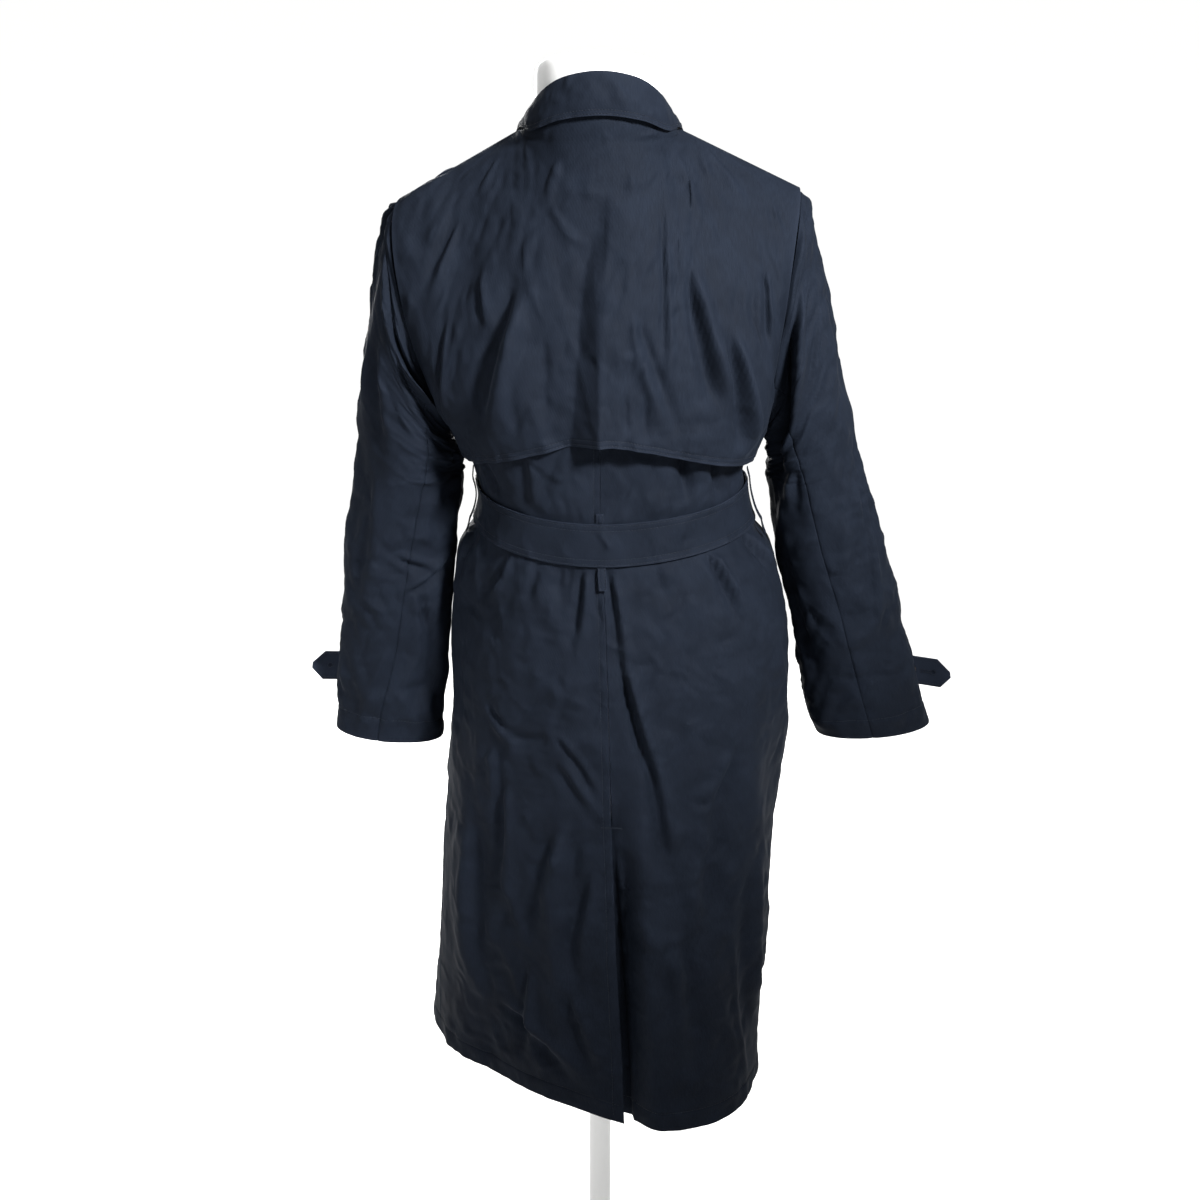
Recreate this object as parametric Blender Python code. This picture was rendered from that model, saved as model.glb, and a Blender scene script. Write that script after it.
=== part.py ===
"""A double-breasted trench coat with a storm flap and a belt, worn by a limbless dress form.

Metres, +Z up, the floor at z = 0. The coat's front faces -Y and its back +Y, and the wearer's left is +X.
The cloth is one surface, cloth_point(back, g, h). g runs once round the body: 0 at the left side seam, 1 at the
centre back, 2 at the right side seam, 3 at the centre front and 4 at the left side seam again. h is the height
up to the underarm, and above it goes on up the cloth to the shoulder seam and the neck. Every panel is a region
of that surface with a wall of cloth behind it, and what lies on a panel is a region of it moved out.
"""

import math
from collections import namedtuple

import bpy
import numpy as np

for old in list(bpy.data.objects):
    bpy.data.objects.remove(old, do_unlink=True)

# ---- driving sizes ----
CLOTH = 0.0016  # wall of cotton gabardine with its turnings
SEAM = 0.0004  # gap between two pieces at a seam
REACH = 0.24  # mean length of cloth in one unit of g

HEM_Z = 0.420
HEM_DROOP = 0.011
UNDERARM_Z = 1.150
UPPER = 0.27  # length of cloth from the underarm level to the neck
VENT_Z = 0.744
BELT_WIDTH = 0.045
BELT_BACK_Z = 1.043  # centre of the belt at the centre back, where it hangs lowest
BELT_SIDE_Z = 1.060

NECK_WIDTH = 0.158
NECK_DEPTH = 0.080
NECK_Y = -0.006
NECK_POINT_Z = 1.4475
NECK_BACK_RISE = 0.026
NECK_FRONT_DROP = 0.0625
LEFT_TIP = (0.2050, -0.004, 1.376)  # outer end of each shoulder seam
RIGHT_TIP = (-0.2075, -0.004, 1.386)
ARMHOLE_SPREAD = (0.090, 0.005)  # how far the left and the right armhole curve outwards
ARMHOLE_SHARE = 0.60  # share of each quarter, from the side seam, that ends in the shoulder seam

OVERLAP = 0.38  # how far each front passes the centre front, in g
BREAK_H = 1.19  # where the lapels begin to turn
ROLL_TOP = 0.72  # g from the centre front to the top of the roll line
UNDERLAP = 0.0048  # how far the left front lies inside the right one

Section = namedtuple(
    "Section", "z left left_back back right_back right right_front front left_front turn"
)
# Distance from the pole's axis to the cloth every 45 degrees round, and the turn in degrees of the back seam.
SECTIONS = [
    Section(0.420, 0.185, 0.153, 0.187, 0.220, 0.167, 0.190, 0.170, 0.205, 8.0),
    Section(0.560, 0.181, 0.157, 0.176, 0.205, 0.184, 0.186, 0.164, 0.190, 6.2),
    Section(0.660, 0.175, 0.159, 0.168, 0.196, 0.192, 0.182, 0.160, 0.182, 5.0),
    Section(0.756, 0.167, 0.158, 0.161, 0.189, 0.200, 0.180, 0.156, 0.174, 4.1),
    Section(0.830, 0.162, 0.156, 0.157, 0.186, 0.206, 0.178, 0.153, 0.168, 3.5),
    Section(0.900, 0.163, 0.154, 0.152, 0.181, 0.207, 0.176, 0.149, 0.164, 2.9),
    Section(0.945, 0.160, 0.150, 0.147, 0.175, 0.203, 0.172, 0.144, 0.159, 2.4),
    Section(0.985, 0.156, 0.146, 0.140, 0.166, 0.195, 0.163, 0.136, 0.151, 1.8),
    Section(1.010, 0.152, 0.142, 0.135, 0.160, 0.187, 0.157, 0.130, 0.145, 1.0),
    Section(1.035, 0.135, 0.136, 0.131, 0.150, 0.166, 0.149, 0.126, 0.138, 0.5),
    Section(1.065, 0.127, 0.134, 0.129, 0.147, 0.156, 0.146, 0.124, 0.136, 0.0),
    Section(1.095, 0.134, 0.138, 0.128, 0.149, 0.155, 0.148, 0.125, 0.141, 0.0),
    Section(1.150, 0.153, 0.150, 0.127, 0.156, 0.171, 0.156, 0.128, 0.152, 0.0),
]
SECTION_Z = np.array([row.z for row in SECTIONS])
SECTION_COLUMNS = np.array([row[1:] for row in SECTIONS])

Fold = namedtuple("Fold", "piece g_top g_low h_top h_low half_width depth")
# Soft ridges (depth above zero) and troughs (below zero) in the body of the coat and in the storm flap.
FOLDS = [
    Fold("body", 1.00, 1.27, 1.020, 0.700, 0.014, 0.0065),
    Fold("body", 1.06, 1.40, 1.020, 0.760, 0.012, -0.0050),
    Fold("body", 1.47, 1.62, 1.025, 0.880, 0.012, -0.0080),
    Fold("body", 1.72, 1.84, 1.028, 0.900, 0.012, -0.0070),
    Fold("body", 0.90, 0.86, 1.020, 0.880, 0.010, -0.0050),
    Fold("body", 0.62, 0.50, 1.022, 0.860, 0.012, -0.0060),
    Fold("body", 0.30, 0.22, 1.025, 0.880, 0.012, -0.0060),
    Fold("body", 0.55, 0.60, 0.760, 0.480, 0.022, 0.0040),
    Fold("body", 1.60, 1.52, 0.700, 0.425, 0.018, -0.0050),
    Fold("body", 2.35, 2.30, 1.020, 0.800, 0.013, -0.0070),
    Fold("body", 2.60, 2.62, 1.020, 0.860, 0.011, -0.0050),
    Fold("body", 3.55, 3.62, 1.020, 0.800, 0.013, -0.0070),
    Fold("body", 3.80, 3.86, 1.020, 0.880, 0.011, -0.0050),
    Fold("flap", 0.99, 1.06, 1.420, 1.090, 0.020, 0.0130),
    Fold("flap", 1.42, 1.34, 1.330, 1.090, 0.016, 0.0060),
    Fold("flap", 0.62, 0.66, 1.330, 1.090, 0.016, 0.0070),
    Fold("flap", 0.30, 0.34, 1.300, 1.090, 0.014, 0.0050),
    Fold("flap", 1.74, 1.66, 1.300, 1.090, 0.014, 0.0050),
]

Ring = namedtuple("Ring", "x y z half_width half_depth lean")
# Centre lines of the sleeves below the underarm. lean is the tilt of the ring in degrees, outer side up.
SLEEVES = {
    "left": [
        Ring(0.2055, -0.010, 1.085, 0.0598, 0.0600, 3.0),
        Ring(0.2142, -0.012, 1.010, 0.0595, 0.0570, 4.0),
        Ring(0.2222, -0.013, 0.940, 0.0600, 0.0530, 5.0),
        Ring(0.2298, -0.018, 0.865, 0.0600, 0.0470, 5.0),
        Ring(0.2358, -0.026, 0.783, 0.0595, 0.0410, 5.0),
    ],
    "right": [
        Ring(-0.2330, -0.010, 1.085, 0.0505, 0.0580, 8.0),
        Ring(-0.2495, -0.012, 1.010, 0.0590, 0.0570, 10.0),
        Ring(-0.2675, -0.013, 0.940, 0.0615, 0.0530, 11.0),
        Ring(-0.2850, -0.018, 0.865, 0.0635, 0.0470, 9.0),
        Ring(-0.3060, -0.026, 0.788, 0.0630, 0.0410, 5.0),
    ],
}
# How the sleeve's outer line leaves the shoulder: outwards and down.
CAP_LEAVE = {"left": (0.060, -0.090), "right": (0.030, -0.150)}
BACK_SEAM_TOP = 122.0  # angles round the sleeve, from its outer line through its back
BACK_SEAM_CUFF = 94.0
FRONT_SEAM = 236.0

Neck = namedtuple("Neck", "turn fold_x fold_y fold_z edge_x edge_y edge_z")
# The collar's fold line and its free edge, from the centre back round to the front.
COLLAR = [
    Neck(0, 0.0000, 0.0800, 1.5150, 0.0000, 0.0890, 1.4717),
    Neck(30, 0.0370, 0.0710, 1.5080, 0.0405, 0.0795, 1.4662),
    Neck(60, 0.0600, 0.0450, 1.4910, 0.0700, 0.0530, 1.4535),
    Neck(90, 0.0720, 0.0010, 1.4690, 0.0810, 0.0030, 1.4516),
    Neck(115, 0.0745, -0.0360, 1.4540, 0.0895, -0.0530, 1.4355),
    Neck(132, 0.0690, -0.0600, 1.4420, 0.1060, -0.1000, 1.3800),
]
STAND_TURN = 128.0

BUTTON_RADIUS = 0.0115
BUTTON_THICK = 0.0036
BUTTON_SEAT = 0.0006
BUTTON_SIDES = 14
CUFF_BUTTON_RADIUS = 0.0075
CUFF_BUTTON_THICK = 0.0028
CUFF_BUTTON_ANGLE = -28.0  # angle round the sleeve, from its outer line

FORM_CLEAR = 0.0023  # wall of the coat and a hair of air over the form's shoulders
FormRing = namedtuple("FormRing", "z x y half_width half_depth")
FORM_BODY = [
    FormRing(0.838, -0.012, 0.000, 0.120, 0.095),
    FormRing(0.850, -0.012, 0.000, 0.136, 0.110),
    FormRing(0.900, -0.011, 0.000, 0.143, 0.118),
    FormRing(0.970, -0.010, 0.000, 0.130, 0.110),
    FormRing(1.045, -0.010, 0.000, 0.112, 0.098),
    FormRing(1.110, -0.007, 0.000, 0.120, 0.103),
    FormRing(1.190, -0.003, 0.000, 0.138, 0.108),
    FormRing(1.260, 0.000, -0.002, 0.148, 0.100),
    FormRing(1.320, 0.000, -0.004, 0.155, 0.084),
    FormRing(1.360, 0.000, -0.005, 0.164, 0.066),
]
FORM_SHOULDER = ((0.158, 0.028), (0.140, 0.022), (0.118, 0.019), (0.092, 0.0115))  # half width, half depth
FORM_NECK_X = 0.0015
FORM_NECK_RADIUS = 0.0655
FORM_TOP_Z = 1.518
FORM_TOP_SLANT = 0.28  # the cap is higher at the back than at the front
POLE_RADIUS = 0.0125
BASE_RADIUS = 0.170
BASE_HEIGHT = 0.022

NAVY = (0.014, 0.018, 0.027)
HORN = (0.012, 0.012, 0.014)
WHITE = (0.82, 0.82, 0.81)
COATED = (0.80, 0.80, 0.79)


# ---- shape functions ----
def smooth_table(knots, values, at):
    """Smooth curve through rows of values at the knots."""
    slopes = np.gradient(values, knots, axis=0)
    span = np.clip(np.searchsorted(knots, at) - 1, 0, len(knots) - 2)
    width = knots[span + 1] - knots[span]
    t = ((at - knots[span]) / width)[..., None]
    width = width[..., None]
    low = values[span] * (1 + 2 * t) + slopes[span] * width * t
    high = values[span + 1] * (3 - 2 * t) - slopes[span + 1] * width * (1 - t)
    return low * (1 - t) ** 2 + high * t**2


def ease(x):
    """Smooth step from 0 at x = 0 to 1 at x = 1."""
    x = np.clip(x, 0.0, 1.0)
    return x * x * (3 - 2 * x)


def stack(x, y, z):
    return np.stack(np.broadcast_arrays(x, y, z), axis=-1)


def cloth_ring(g, z):
    """A point of the body below the underarm: the section's eight radii, joined by a smooth round."""
    row = smooth_table(SECTION_Z, SECTION_COLUMNS, z)
    angle = np.radians(90 * g + row[..., 8] * np.clip(1 - abs(g - 1), 0, 1))
    radius = 0.0
    for k in range(8):
        away = angle - k * math.pi / 4
        share = 1 + 2 * np.cos(away) + 2 * np.cos(2 * away) + 2 * np.cos(3 * away)
        radius = radius + row[..., k] * (share + np.cos(4 * away)) / 8
    return stack(radius * np.cos(angle), radius * np.sin(angle), z)


def neckline(turn):
    """The neck seam at an angle in radians from the centre back."""
    across = np.sin(turn)
    back = NECK_POINT_Z + NECK_BACK_RISE * np.cos(turn) ** 2
    front = NECK_POINT_Z - NECK_FRONT_DROP * (1 - abs(across))
    z = np.where(np.cos(turn) > 0, back, front)
    return stack(NECK_WIDTH / 2 * across, NECK_Y + NECK_DEPTH * np.cos(turn), z)


def upper_cloth(back, g, u):
    """A point above the underarm: u is 0 at the underarm level, 1 at the shoulder seam and the neck."""
    facing = 1.0 if back else -1.0
    inward = np.minimum(g, 2 - g) if back else np.minimum(g - 2, 4 - g)
    side = np.where((g < 1) | (g > 3), 1.0, -1.0)
    low = cloth_ring(g, np.full_like(g, UNDERARM_Z))
    slope = (low - cloth_ring(g, np.full_like(g, UNDERARM_Z - 0.004))) / 0.004

    turn = math.pi / 2 * np.clip((1 - inward) / (1 - ARMHOLE_SHARE), 0, 1)
    neck = neckline(side * (turn if back else math.pi - turn))
    along = np.clip(inward / ARMHOLE_SHARE, 0, 1)[..., None]
    tip = np.where(side[..., None] > 0, np.array(LEFT_TIP), np.array(RIGHT_TIP))
    point = neckline(side * math.pi / 2)
    top = np.where(along < 1, tip + (point - tip) * along, neck)

    open_up = ease(inward / 0.45)[..., None]
    spread = np.where(side > 0, ARMHOLE_SPREAD[0], ARMHOLE_SPREAD[1])
    rise = slope * UPPER * open_up
    rise = rise + stack(side * spread, facing * 0.27, 0.09) * (1 - open_up)
    over = stack(0.0, facing * -0.16, 0.0)
    at_tip = stack(side * -spread, facing * -0.19, 0.0)
    at_neck = stack(side * -0.02, facing * -0.07, 0.20)
    arrive = at_tip + (over - at_tip) * ease(inward / 0.30)[..., None]
    arrive = arrive + (at_neck - arrive) * ease((inward - 0.50) / 0.5)[..., None]

    u = u[..., None]
    start = low * (1 + 2 * u) + rise * u
    end = top * (3 - 2 * u) - arrive * (1 - u)
    return start * (1 - u) ** 2 + end * u**2


def cloth_point(back, g, h):
    """The coat's plain outer surface, as the module's text says."""
    g, h = np.broadcast_arrays(np.asarray(g, float), np.asarray(h, float))
    low = cloth_ring(g, np.minimum(h, UNDERARM_Z))
    high = upper_cloth(back, g, np.maximum(h - UNDERARM_Z, 0) / UPPER)
    return np.where((h > UNDERARM_Z)[..., None], high, low)


def cloth_normal(back, g, h):
    step = 0.002
    across = cloth_point(back, g + step, h) - cloth_point(back, g - step, h)
    up = cloth_point(back, g, h + step) - cloth_point(back, g, h - step)
    normal = np.cross(across, up)
    return normal / np.linalg.norm(normal, axis=-1, keepdims=True)


def fold_height(piece, g, h):
    """How far the folds of one piece move its surface out (or in, below zero)."""
    total = np.zeros(np.broadcast(g, h).shape)
    for fold in FOLDS:
        if fold.piece != piece:
            continue
        share = (h - fold.h_low) / (fold.h_top - fold.h_low)
        centre = fold.g_low + (fold.g_top - fold.g_low) * share
        across = (g - centre) * REACH / fold.half_width
        fade = ease(share * 3) * ease((1 - share) * 6)
        total = total + fold.depth * fade * np.exp(-across * across)
    return total


def dressed(back, g, h, out, piece="body"):
    """The cloth's surface with its folds, moved out by a distance."""
    lift = fold_height(piece, g, h) + out
    return cloth_point(back, g, h) + cloth_normal(back, g, h) * lift[..., None]


def hem_height(g):
    """The hem hangs lowest right of the vent."""
    return HEM_Z - HEM_DROOP * np.exp(-(((g - 1.30) / 0.30) ** 2))


def belt_low(g):
    """Height of the belt's lower edge: it dips at the centre back."""
    dip = (BELT_SIDE_Z - BELT_BACK_Z) * ease(1 - abs(g - 1))
    return BELT_SIDE_Z - dip - BELT_WIDTH / 2


def belt_high(g):
    return belt_low(g) + BELT_WIDTH


def right_edge(h):
    """g of the right front's free edge: straight up to the break, then along the roll line."""
    up = np.clip((h - BREAK_H) / (UNDERARM_Z + UPPER - BREAK_H), 0, 1)
    return 3 + OVERLAP - (OVERLAP + ROLL_TOP * (1 - ARMHOLE_SHARE)) * up


def left_edge(h):
    return 6 - right_edge(h)


CROSSING_H = BREAK_H + (UNDERARM_Z + UPPER - BREAK_H) * OVERLAP / (OVERLAP + ROLL_TOP * (1 - ARMHOLE_SHARE))


# ---- mesh functions ----
def material(name, colour, roughness):
    made = bpy.data.materials.new(name)
    made.use_nodes = True
    shader = made.node_tree.nodes["Principled BSDF"]
    shader.inputs["Base Color"].default_value = (*colour, 1.0)
    shader.inputs["Roughness"].default_value = roughness
    return made


def add_mesh(name, points, faces, finish, crease=40):
    """A closed body from points and faces, its faces turned outwards."""
    points = np.asarray(points, float)
    volume = 0.0
    for face in faces:
        for second, third in zip(face[1:-1], face[2:]):
            volume += np.dot(points[face[0]], np.cross(points[second], points[third]))
    if volume < 0:
        faces = [tuple(reversed(face)) for face in faces]
    mesh = bpy.data.meshes.new(name)
    mesh.from_pydata([tuple(point) for point in points], [], [tuple(face) for face in faces])
    mesh.materials.append(finish)
    mesh.shade_smooth()
    mesh.set_sharp_from_angle(angle=math.radians(crease))
    made = bpy.data.objects.new(name, mesh)
    bpy.context.scene.collection.objects.link(made)
    return made


def add_wall(name, outer, inner, finish, keep=None, closed=False):
    """A wall between two grids of points. keep says which cells of the grid are cloth."""
    rows, columns = outer.shape[:2]
    cells = columns if closed else columns - 1
    count = rows * columns
    faces = []
    for row in range(rows - 1):
        for column in range(cells):
            if keep is not None and not keep[row][column]:
                continue
            a = row * columns + column
            b = row * columns + (column + 1) % columns
            faces.append((a, b, b + columns))
            faces.append((a, b + columns, a + columns))
    edges = {}
    for face in faces:
        for first, second in zip(face, face[1:] + face[:1]):
            edges[(first, second)] = True
    walls = []
    for first, second in edges:
        if (second, first) not in edges:
            walls.append((second, first, first + count))
            walls.append((second, first + count, second + count))
    back_faces = [(c + count, b + count, a + count) for a, b, c in faces]
    points = np.concatenate([outer.reshape(-1, 3), inner.reshape(-1, 3)])
    every = faces + back_faces + walls
    used = sorted({index for face in every for index in face})
    place = {index: position for position, index in enumerate(used)}
    every = [tuple(place[index] for index in face) for face in every]
    return add_mesh(name, points[used], every, finish)


def turned(name, profile, centre, axis, finish, segments):
    """A solid turned from a profile of (radius, distance along the axis), from its start to its end."""
    axis = np.asarray(axis, float) / np.linalg.norm(axis)
    helper = np.array([0.0, 0.0, 1.0]) if abs(axis[2]) < 0.9 else np.array([1.0, 0.0, 0.0])
    first = np.cross(helper, axis)
    first /= np.linalg.norm(first)
    second = np.cross(axis, first)
    points = []
    for radius, along in profile:
        for k in range(segments):
            angle = 2 * math.pi * k / segments
            ray = first * math.cos(angle) + second * math.sin(angle)
            points.append(np.asarray(centre) + axis * along + ray * radius)
    faces = [tuple(range(segments))[::-1]]
    for row in range(len(profile) - 1):
        for k in range(segments):
            a = row * segments + k
            b = row * segments + (k + 1) % segments
            faces.append((a, b, b + segments, a + segments))
    faces.append(tuple(range(len(points) - segments, len(points))))
    return add_mesh(name, points, faces, finish)


GABARDINE = material("navy cotton gabardine", NAVY, 0.85)
BUTTON_FINISH = material("dark horn button", HORN, 0.35)
FORM_FINISH = material("white moulded form", WHITE, 0.45)
COATED_STEEL = material("white powder-coated steel", COATED, 0.40)

# ---- rows shared by the panels ----
VENT_ROWS = 6
SKIRT_ROWS = 6
UPPER_SHARES = (0.0, 0.12, 0.24, 0.36, 0.48, 0.59, 0.69, 0.78, 0.86, 0.92, 0.965, 0.9985)
ROWS = VENT_ROWS + SKIRT_ROWS + 3 + len(UPPER_SHARES)
BELT_ROW = VENT_ROWS + SKIRT_ROWS


def panel_rows(g):
    """Heights of the panels' rows at g: the vent, the skirt, both edges of the belt, the bodice and the yoke."""
    low, high = belt_low(g), belt_high(g)
    hem = hem_height(g)
    rows = [hem + (VENT_Z - hem) * k / VENT_ROWS for k in range(VENT_ROWS)]
    rows += [VENT_Z + (low - VENT_Z) * k / SKIRT_ROWS for k in range(SKIRT_ROWS)]
    rows += [low, high, (high + UNDERARM_Z) / 2]
    rows += [UNDERARM_Z + UPPER * share + 0 * g for share in UPPER_SHARES]
    return np.array(rows)


def back_panel(name, columns, out, keep=None):
    g = np.broadcast_to(columns, (ROWS, len(columns)))
    h = panel_rows(columns)
    lift = out(g, h)
    outer = dressed(True, g, h, lift)
    inner = dressed(True, g, h, lift - CLOTH)
    return add_wall(name, outer, inner, GABARDINE, keep)


HALF_SEAM = SEAM / 2 / REACH
SIDE_TO_CENTRE = np.array([0.0, 0.06, 0.15, 0.27, 0.40, 0.52, 0.60, 0.70, 0.80, 0.90, 1.0])
LEFT_BACK_COLUMNS = np.clip(SIDE_TO_CENTRE, HALF_SEAM, 1 - HALF_SEAM)
UNDERLAP_COLUMNS = SIDE_TO_CENTRE[-3:-1]
RIGHT_BACK_COLUMNS = np.concatenate([UNDERLAP_COLUMNS, 2 - LEFT_BACK_COLUMNS[::-1]])


def flat_out(g, h):
    return np.zeros_like(h)


def vent_under(g, h):
    """The right back goes in under the left one beside the vent."""
    below = ease((VENT_Z + 0.055 - h) / 0.055)
    return -0.0028 * ease((1.08 - g) / 0.07) * below


back_left = back_panel("back_left", LEFT_BACK_COLUMNS, flat_out)
vent_cells = []
for row in range(ROWS - 1):
    vent_cells.append([row < VENT_ROWS] * len(UNDERLAP_COLUMNS) + [True] * (len(LEFT_BACK_COLUMNS) - 1))
back_right = back_panel("back_right", RIGHT_BACK_COLUMNS, vent_under, vent_cells)

# ---- fronts, right over left ----
FRONT_SHARES = np.array([0.0, 0.06, 0.15, 0.25, 0.34, 0.42, 0.50, 0.58, 0.66, 0.74, 0.82, 0.885, 0.95, 1.0])


def front_grid(right):
    """g and h of a front's points: its columns spread from the side seam to the free edge."""
    shares = FRONT_SHARES if right else 1 - FRONT_SHARES[::-1]
    fixed = 2 + HALF_SEAM if right else 4 - HALF_SEAM
    h = panel_rows(np.full(len(shares), 3.0))
    edge = right_edge(h) if right else left_edge(h)
    if right:
        g = fixed + (edge - fixed) * shares
    else:
        g = edge + (fixed - edge) * shares
    return g, h


def left_front_out(g, h):
    """The left front lies inside the right one, and comes level just past its edge."""
    return -UNDERLAP * (1 - ease((g - right_edge(h) - 0.01) / 0.14))


right_g, right_h = front_grid(True)
front_right = add_wall(
    "front_right",
    dressed(False, right_g, right_h, flat_out(right_g, right_h)),
    dressed(False, right_g, right_h, flat_out(right_g, right_h) - CLOTH),
    GABARDINE,
)
left_g, left_h = front_grid(False)
left_out = left_front_out(left_g, left_h)
front_left = add_wall(
    "front_left",
    dressed(False, left_g, left_h, left_out),
    dressed(False, left_g, left_h, left_out - CLOTH),
    GABARDINE,
)

# ---- storm flap: a loose second back, caught in the neck, shoulder and armhole seams ----
FLAP_SIDE_Z = 1.118
FLAP_CENTRE_Z = 1.151
flap_columns = np.concatenate([SIDE_TO_CENTRE, 2 - SIDE_TO_CENTRE[-2::-1]])
middle = np.linspace(0.85, 1.15, 9)
flap_columns = np.unique(np.concatenate([flap_columns, middle]))


def flap_hem(g):
    """The flap's hem rises to the centre back."""
    return FLAP_SIDE_Z + (FLAP_CENTRE_Z - FLAP_SIDE_Z) * ease(1 - abs(g - 1) * 1.25)


FLAP_LIFT = CLOTH + 0.0012
FLAP_FLARE = 0.0070  # how far the flap's hem hangs off the back, past its lift
hem_h = flap_hem(flap_columns)
flap_rows = [hem_h, (hem_h + UNDERARM_Z + UPPER * UPPER_SHARES[1]) / 2]
flap_rows += [UNDERARM_Z + UPPER * share + 0 * hem_h for share in UPPER_SHARES[1:]]
flap_h = np.array(flap_rows)
# The flap is narrower than the back below the underarm, where its sides hang free beside the sleeves.
flap_inset = 0.009 + 0.031 * (1 - ease((flap_h - UNDERARM_Z) / 0.09))
flap_g = 1 + (flap_columns - 1) * (1 - flap_inset)
hang = (flap_h - hem_h) / (UNDERARM_Z + UPPER - hem_h)
flap_out = FLAP_LIFT + FLAP_FLARE * ease(1.3 * (1 - hang)) * ease(np.minimum(flap_g, 2 - flap_g) * 4)
storm_flap = add_wall(
    "storm_flap",
    dressed(True, flap_g, flap_h, flap_out, "flap"),
    dressed(True, flap_g, flap_h, flap_out - CLOTH, "flap"),
    GABARDINE,
)


# ---- lapels: the fronts' upper edges turned back onto the chest ----
LAPEL_TOP = UNDERARM_Z + UPPER * UPPER_SHARES[-3]
LAPEL_WIDTH = 0.40  # in g, at its widest
LAPEL_WIDEST = 0.66  # share of the lapel's height at which it is widest
# Distance of the lapel's outer side from the front, against its distance in g from the roll line.
ROLL_AWAY = [-0.012, 0.0, 0.02, 0.16]
ROLL_OUT = [0.0004, 0.0028, 0.0074, 0.0074]
UNDER_RIGHT = 0.034  # the left lapel comes out from under the right front this far beyond its edge


def lapel(name, right, heights):
    """Rows at the same heights as the front's, so that the two lie evenly on each other."""
    h = np.asarray(heights)[:, None] * np.ones(7)
    up = (h - BREAK_H) / (LAPEL_TOP - BREAK_H)
    narrowing = 1 - 0.62 * ease((up - LAPEL_WIDEST) / (1 - LAPEL_WIDEST))
    width = (LAPEL_WIDTH * ease(up / LAPEL_WIDEST) * narrowing + 0.04)[:, :5]
    beside_roll = ROLL_AWAY[:2] + 0 * h[:, :2]
    away = np.concatenate([beside_roll, ROLL_AWAY[2] + (width - ROLL_AWAY[2]) * np.linspace(0, 1, 5)], 1)
    if right:
        g = right_edge(h) - away
        under = flat_out(g, h)
    else:
        steps = UNDER_RIGHT + 0.004 * np.arange(7)
        g = np.maximum(left_edge(h) + away, right_edge(h) + steps)
        away = g - left_edge(h)
        under = left_front_out(g, h) + 0.0020 * ease(away / 0.05)
    out = under + np.interp(away, ROLL_AWAY, ROLL_OUT)
    if right:
        g, out = g[:, ::-1], out[:, ::-1]
    else:
        out = np.maximum(out, under + 0.0040 * (1 - ease((h - CROSSING_H - 0.02) / 0.05)))
    add_wall(name, dressed(False, g, h, out), dressed(False, g, h, out - CLOTH), GABARDINE)


yoke_rows = [UNDERARM_Z + UPPER * share for share in UPPER_SHARES[2:-2]]
lapel("lapel_right", True, [BREAK_H + 0.012] + [h for h in yoke_rows if h > BREAK_H + 0.02])
lapel("lapel_left", False, [h for h in yoke_rows if h > BREAK_H + 0.11])


# ---- collar: a stand round the neck and a fall that folds down over it ----
COLLAR_BELLY = 0.006  # how far the fall swells out between its fold and its free edge
COLLAR_END = 132.0
STAND_INSET = 0.0012  # the stand's foot and top stay this far clear of the neck seam and the fall
STAND_DROP = 0.0016
one_half = np.array(COLLAR, float)
other_half = one_half[:0:-1] * [-1, -1, 1, 1, -1, 1, 1]
COLLAR_ROWS = np.concatenate([other_half, one_half])


def collar_lines(turn):
    """The collar's fold line and free edge at an angle in degrees from the centre back."""
    row = smooth_table(COLLAR_ROWS[:, 0], COLLAR_ROWS[:, 1:], turn)
    return row[..., :3], row[..., 3:]


def grid_normal(points):
    """Unit normals of a grid of points."""
    normal = np.cross(np.gradient(points, axis=1), np.gradient(points, axis=0))
    return normal / np.linalg.norm(normal, axis=-1, keepdims=True)


def away_from_neck(points):
    """Level unit vectors away from the neck's axis."""
    away = points * [1, 1, 0] - [0, NECK_Y, 0]
    return away / np.linalg.norm(away, axis=-1, keepdims=True)


collar_fold, collar_edge = collar_lines(np.linspace(-COLLAR_END, COLLAR_END, 23))
collar_shares = np.array([0.0, 0.2, 0.45, 0.72, 1.0])[:, None, None]
collar_middle = (collar_fold + collar_edge) / 2 + away_from_neck(collar_fold) * COLLAR_BELLY
collar_outer = collar_fold * (1 - collar_shares) ** 2 + collar_edge * collar_shares**2
collar_outer = collar_outer + collar_middle * 2 * collar_shares * (1 - collar_shares)
add_wall("collar_fall", collar_outer, collar_outer - grid_normal(collar_outer) * CLOTH, GABARDINE)

stand_turns = np.linspace(-STAND_TURN, STAND_TURN, 19)
stand_foot = neckline(np.radians(stand_turns)) + [0, 0, STAND_INSET]
stand_top, _ = collar_lines(stand_turns)
stand_away = away_from_neck(stand_top)
stand_top = stand_top - stand_away * (CLOTH + STAND_INSET) - [0, 0, STAND_DROP]
stand_shares = np.array([0.0, 0.35, 0.7, 1.0])[:, None, None]
stand_outer = stand_foot + (stand_top - stand_foot) * stand_shares
add_wall("collar_stand", stand_outer, stand_outer - stand_away * CLOTH, GABARDINE)

# ---- sleeves ----
SLEEVE_TOP_ROWS = 8
SLEEVE_LOW_ROWS = 9


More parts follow.
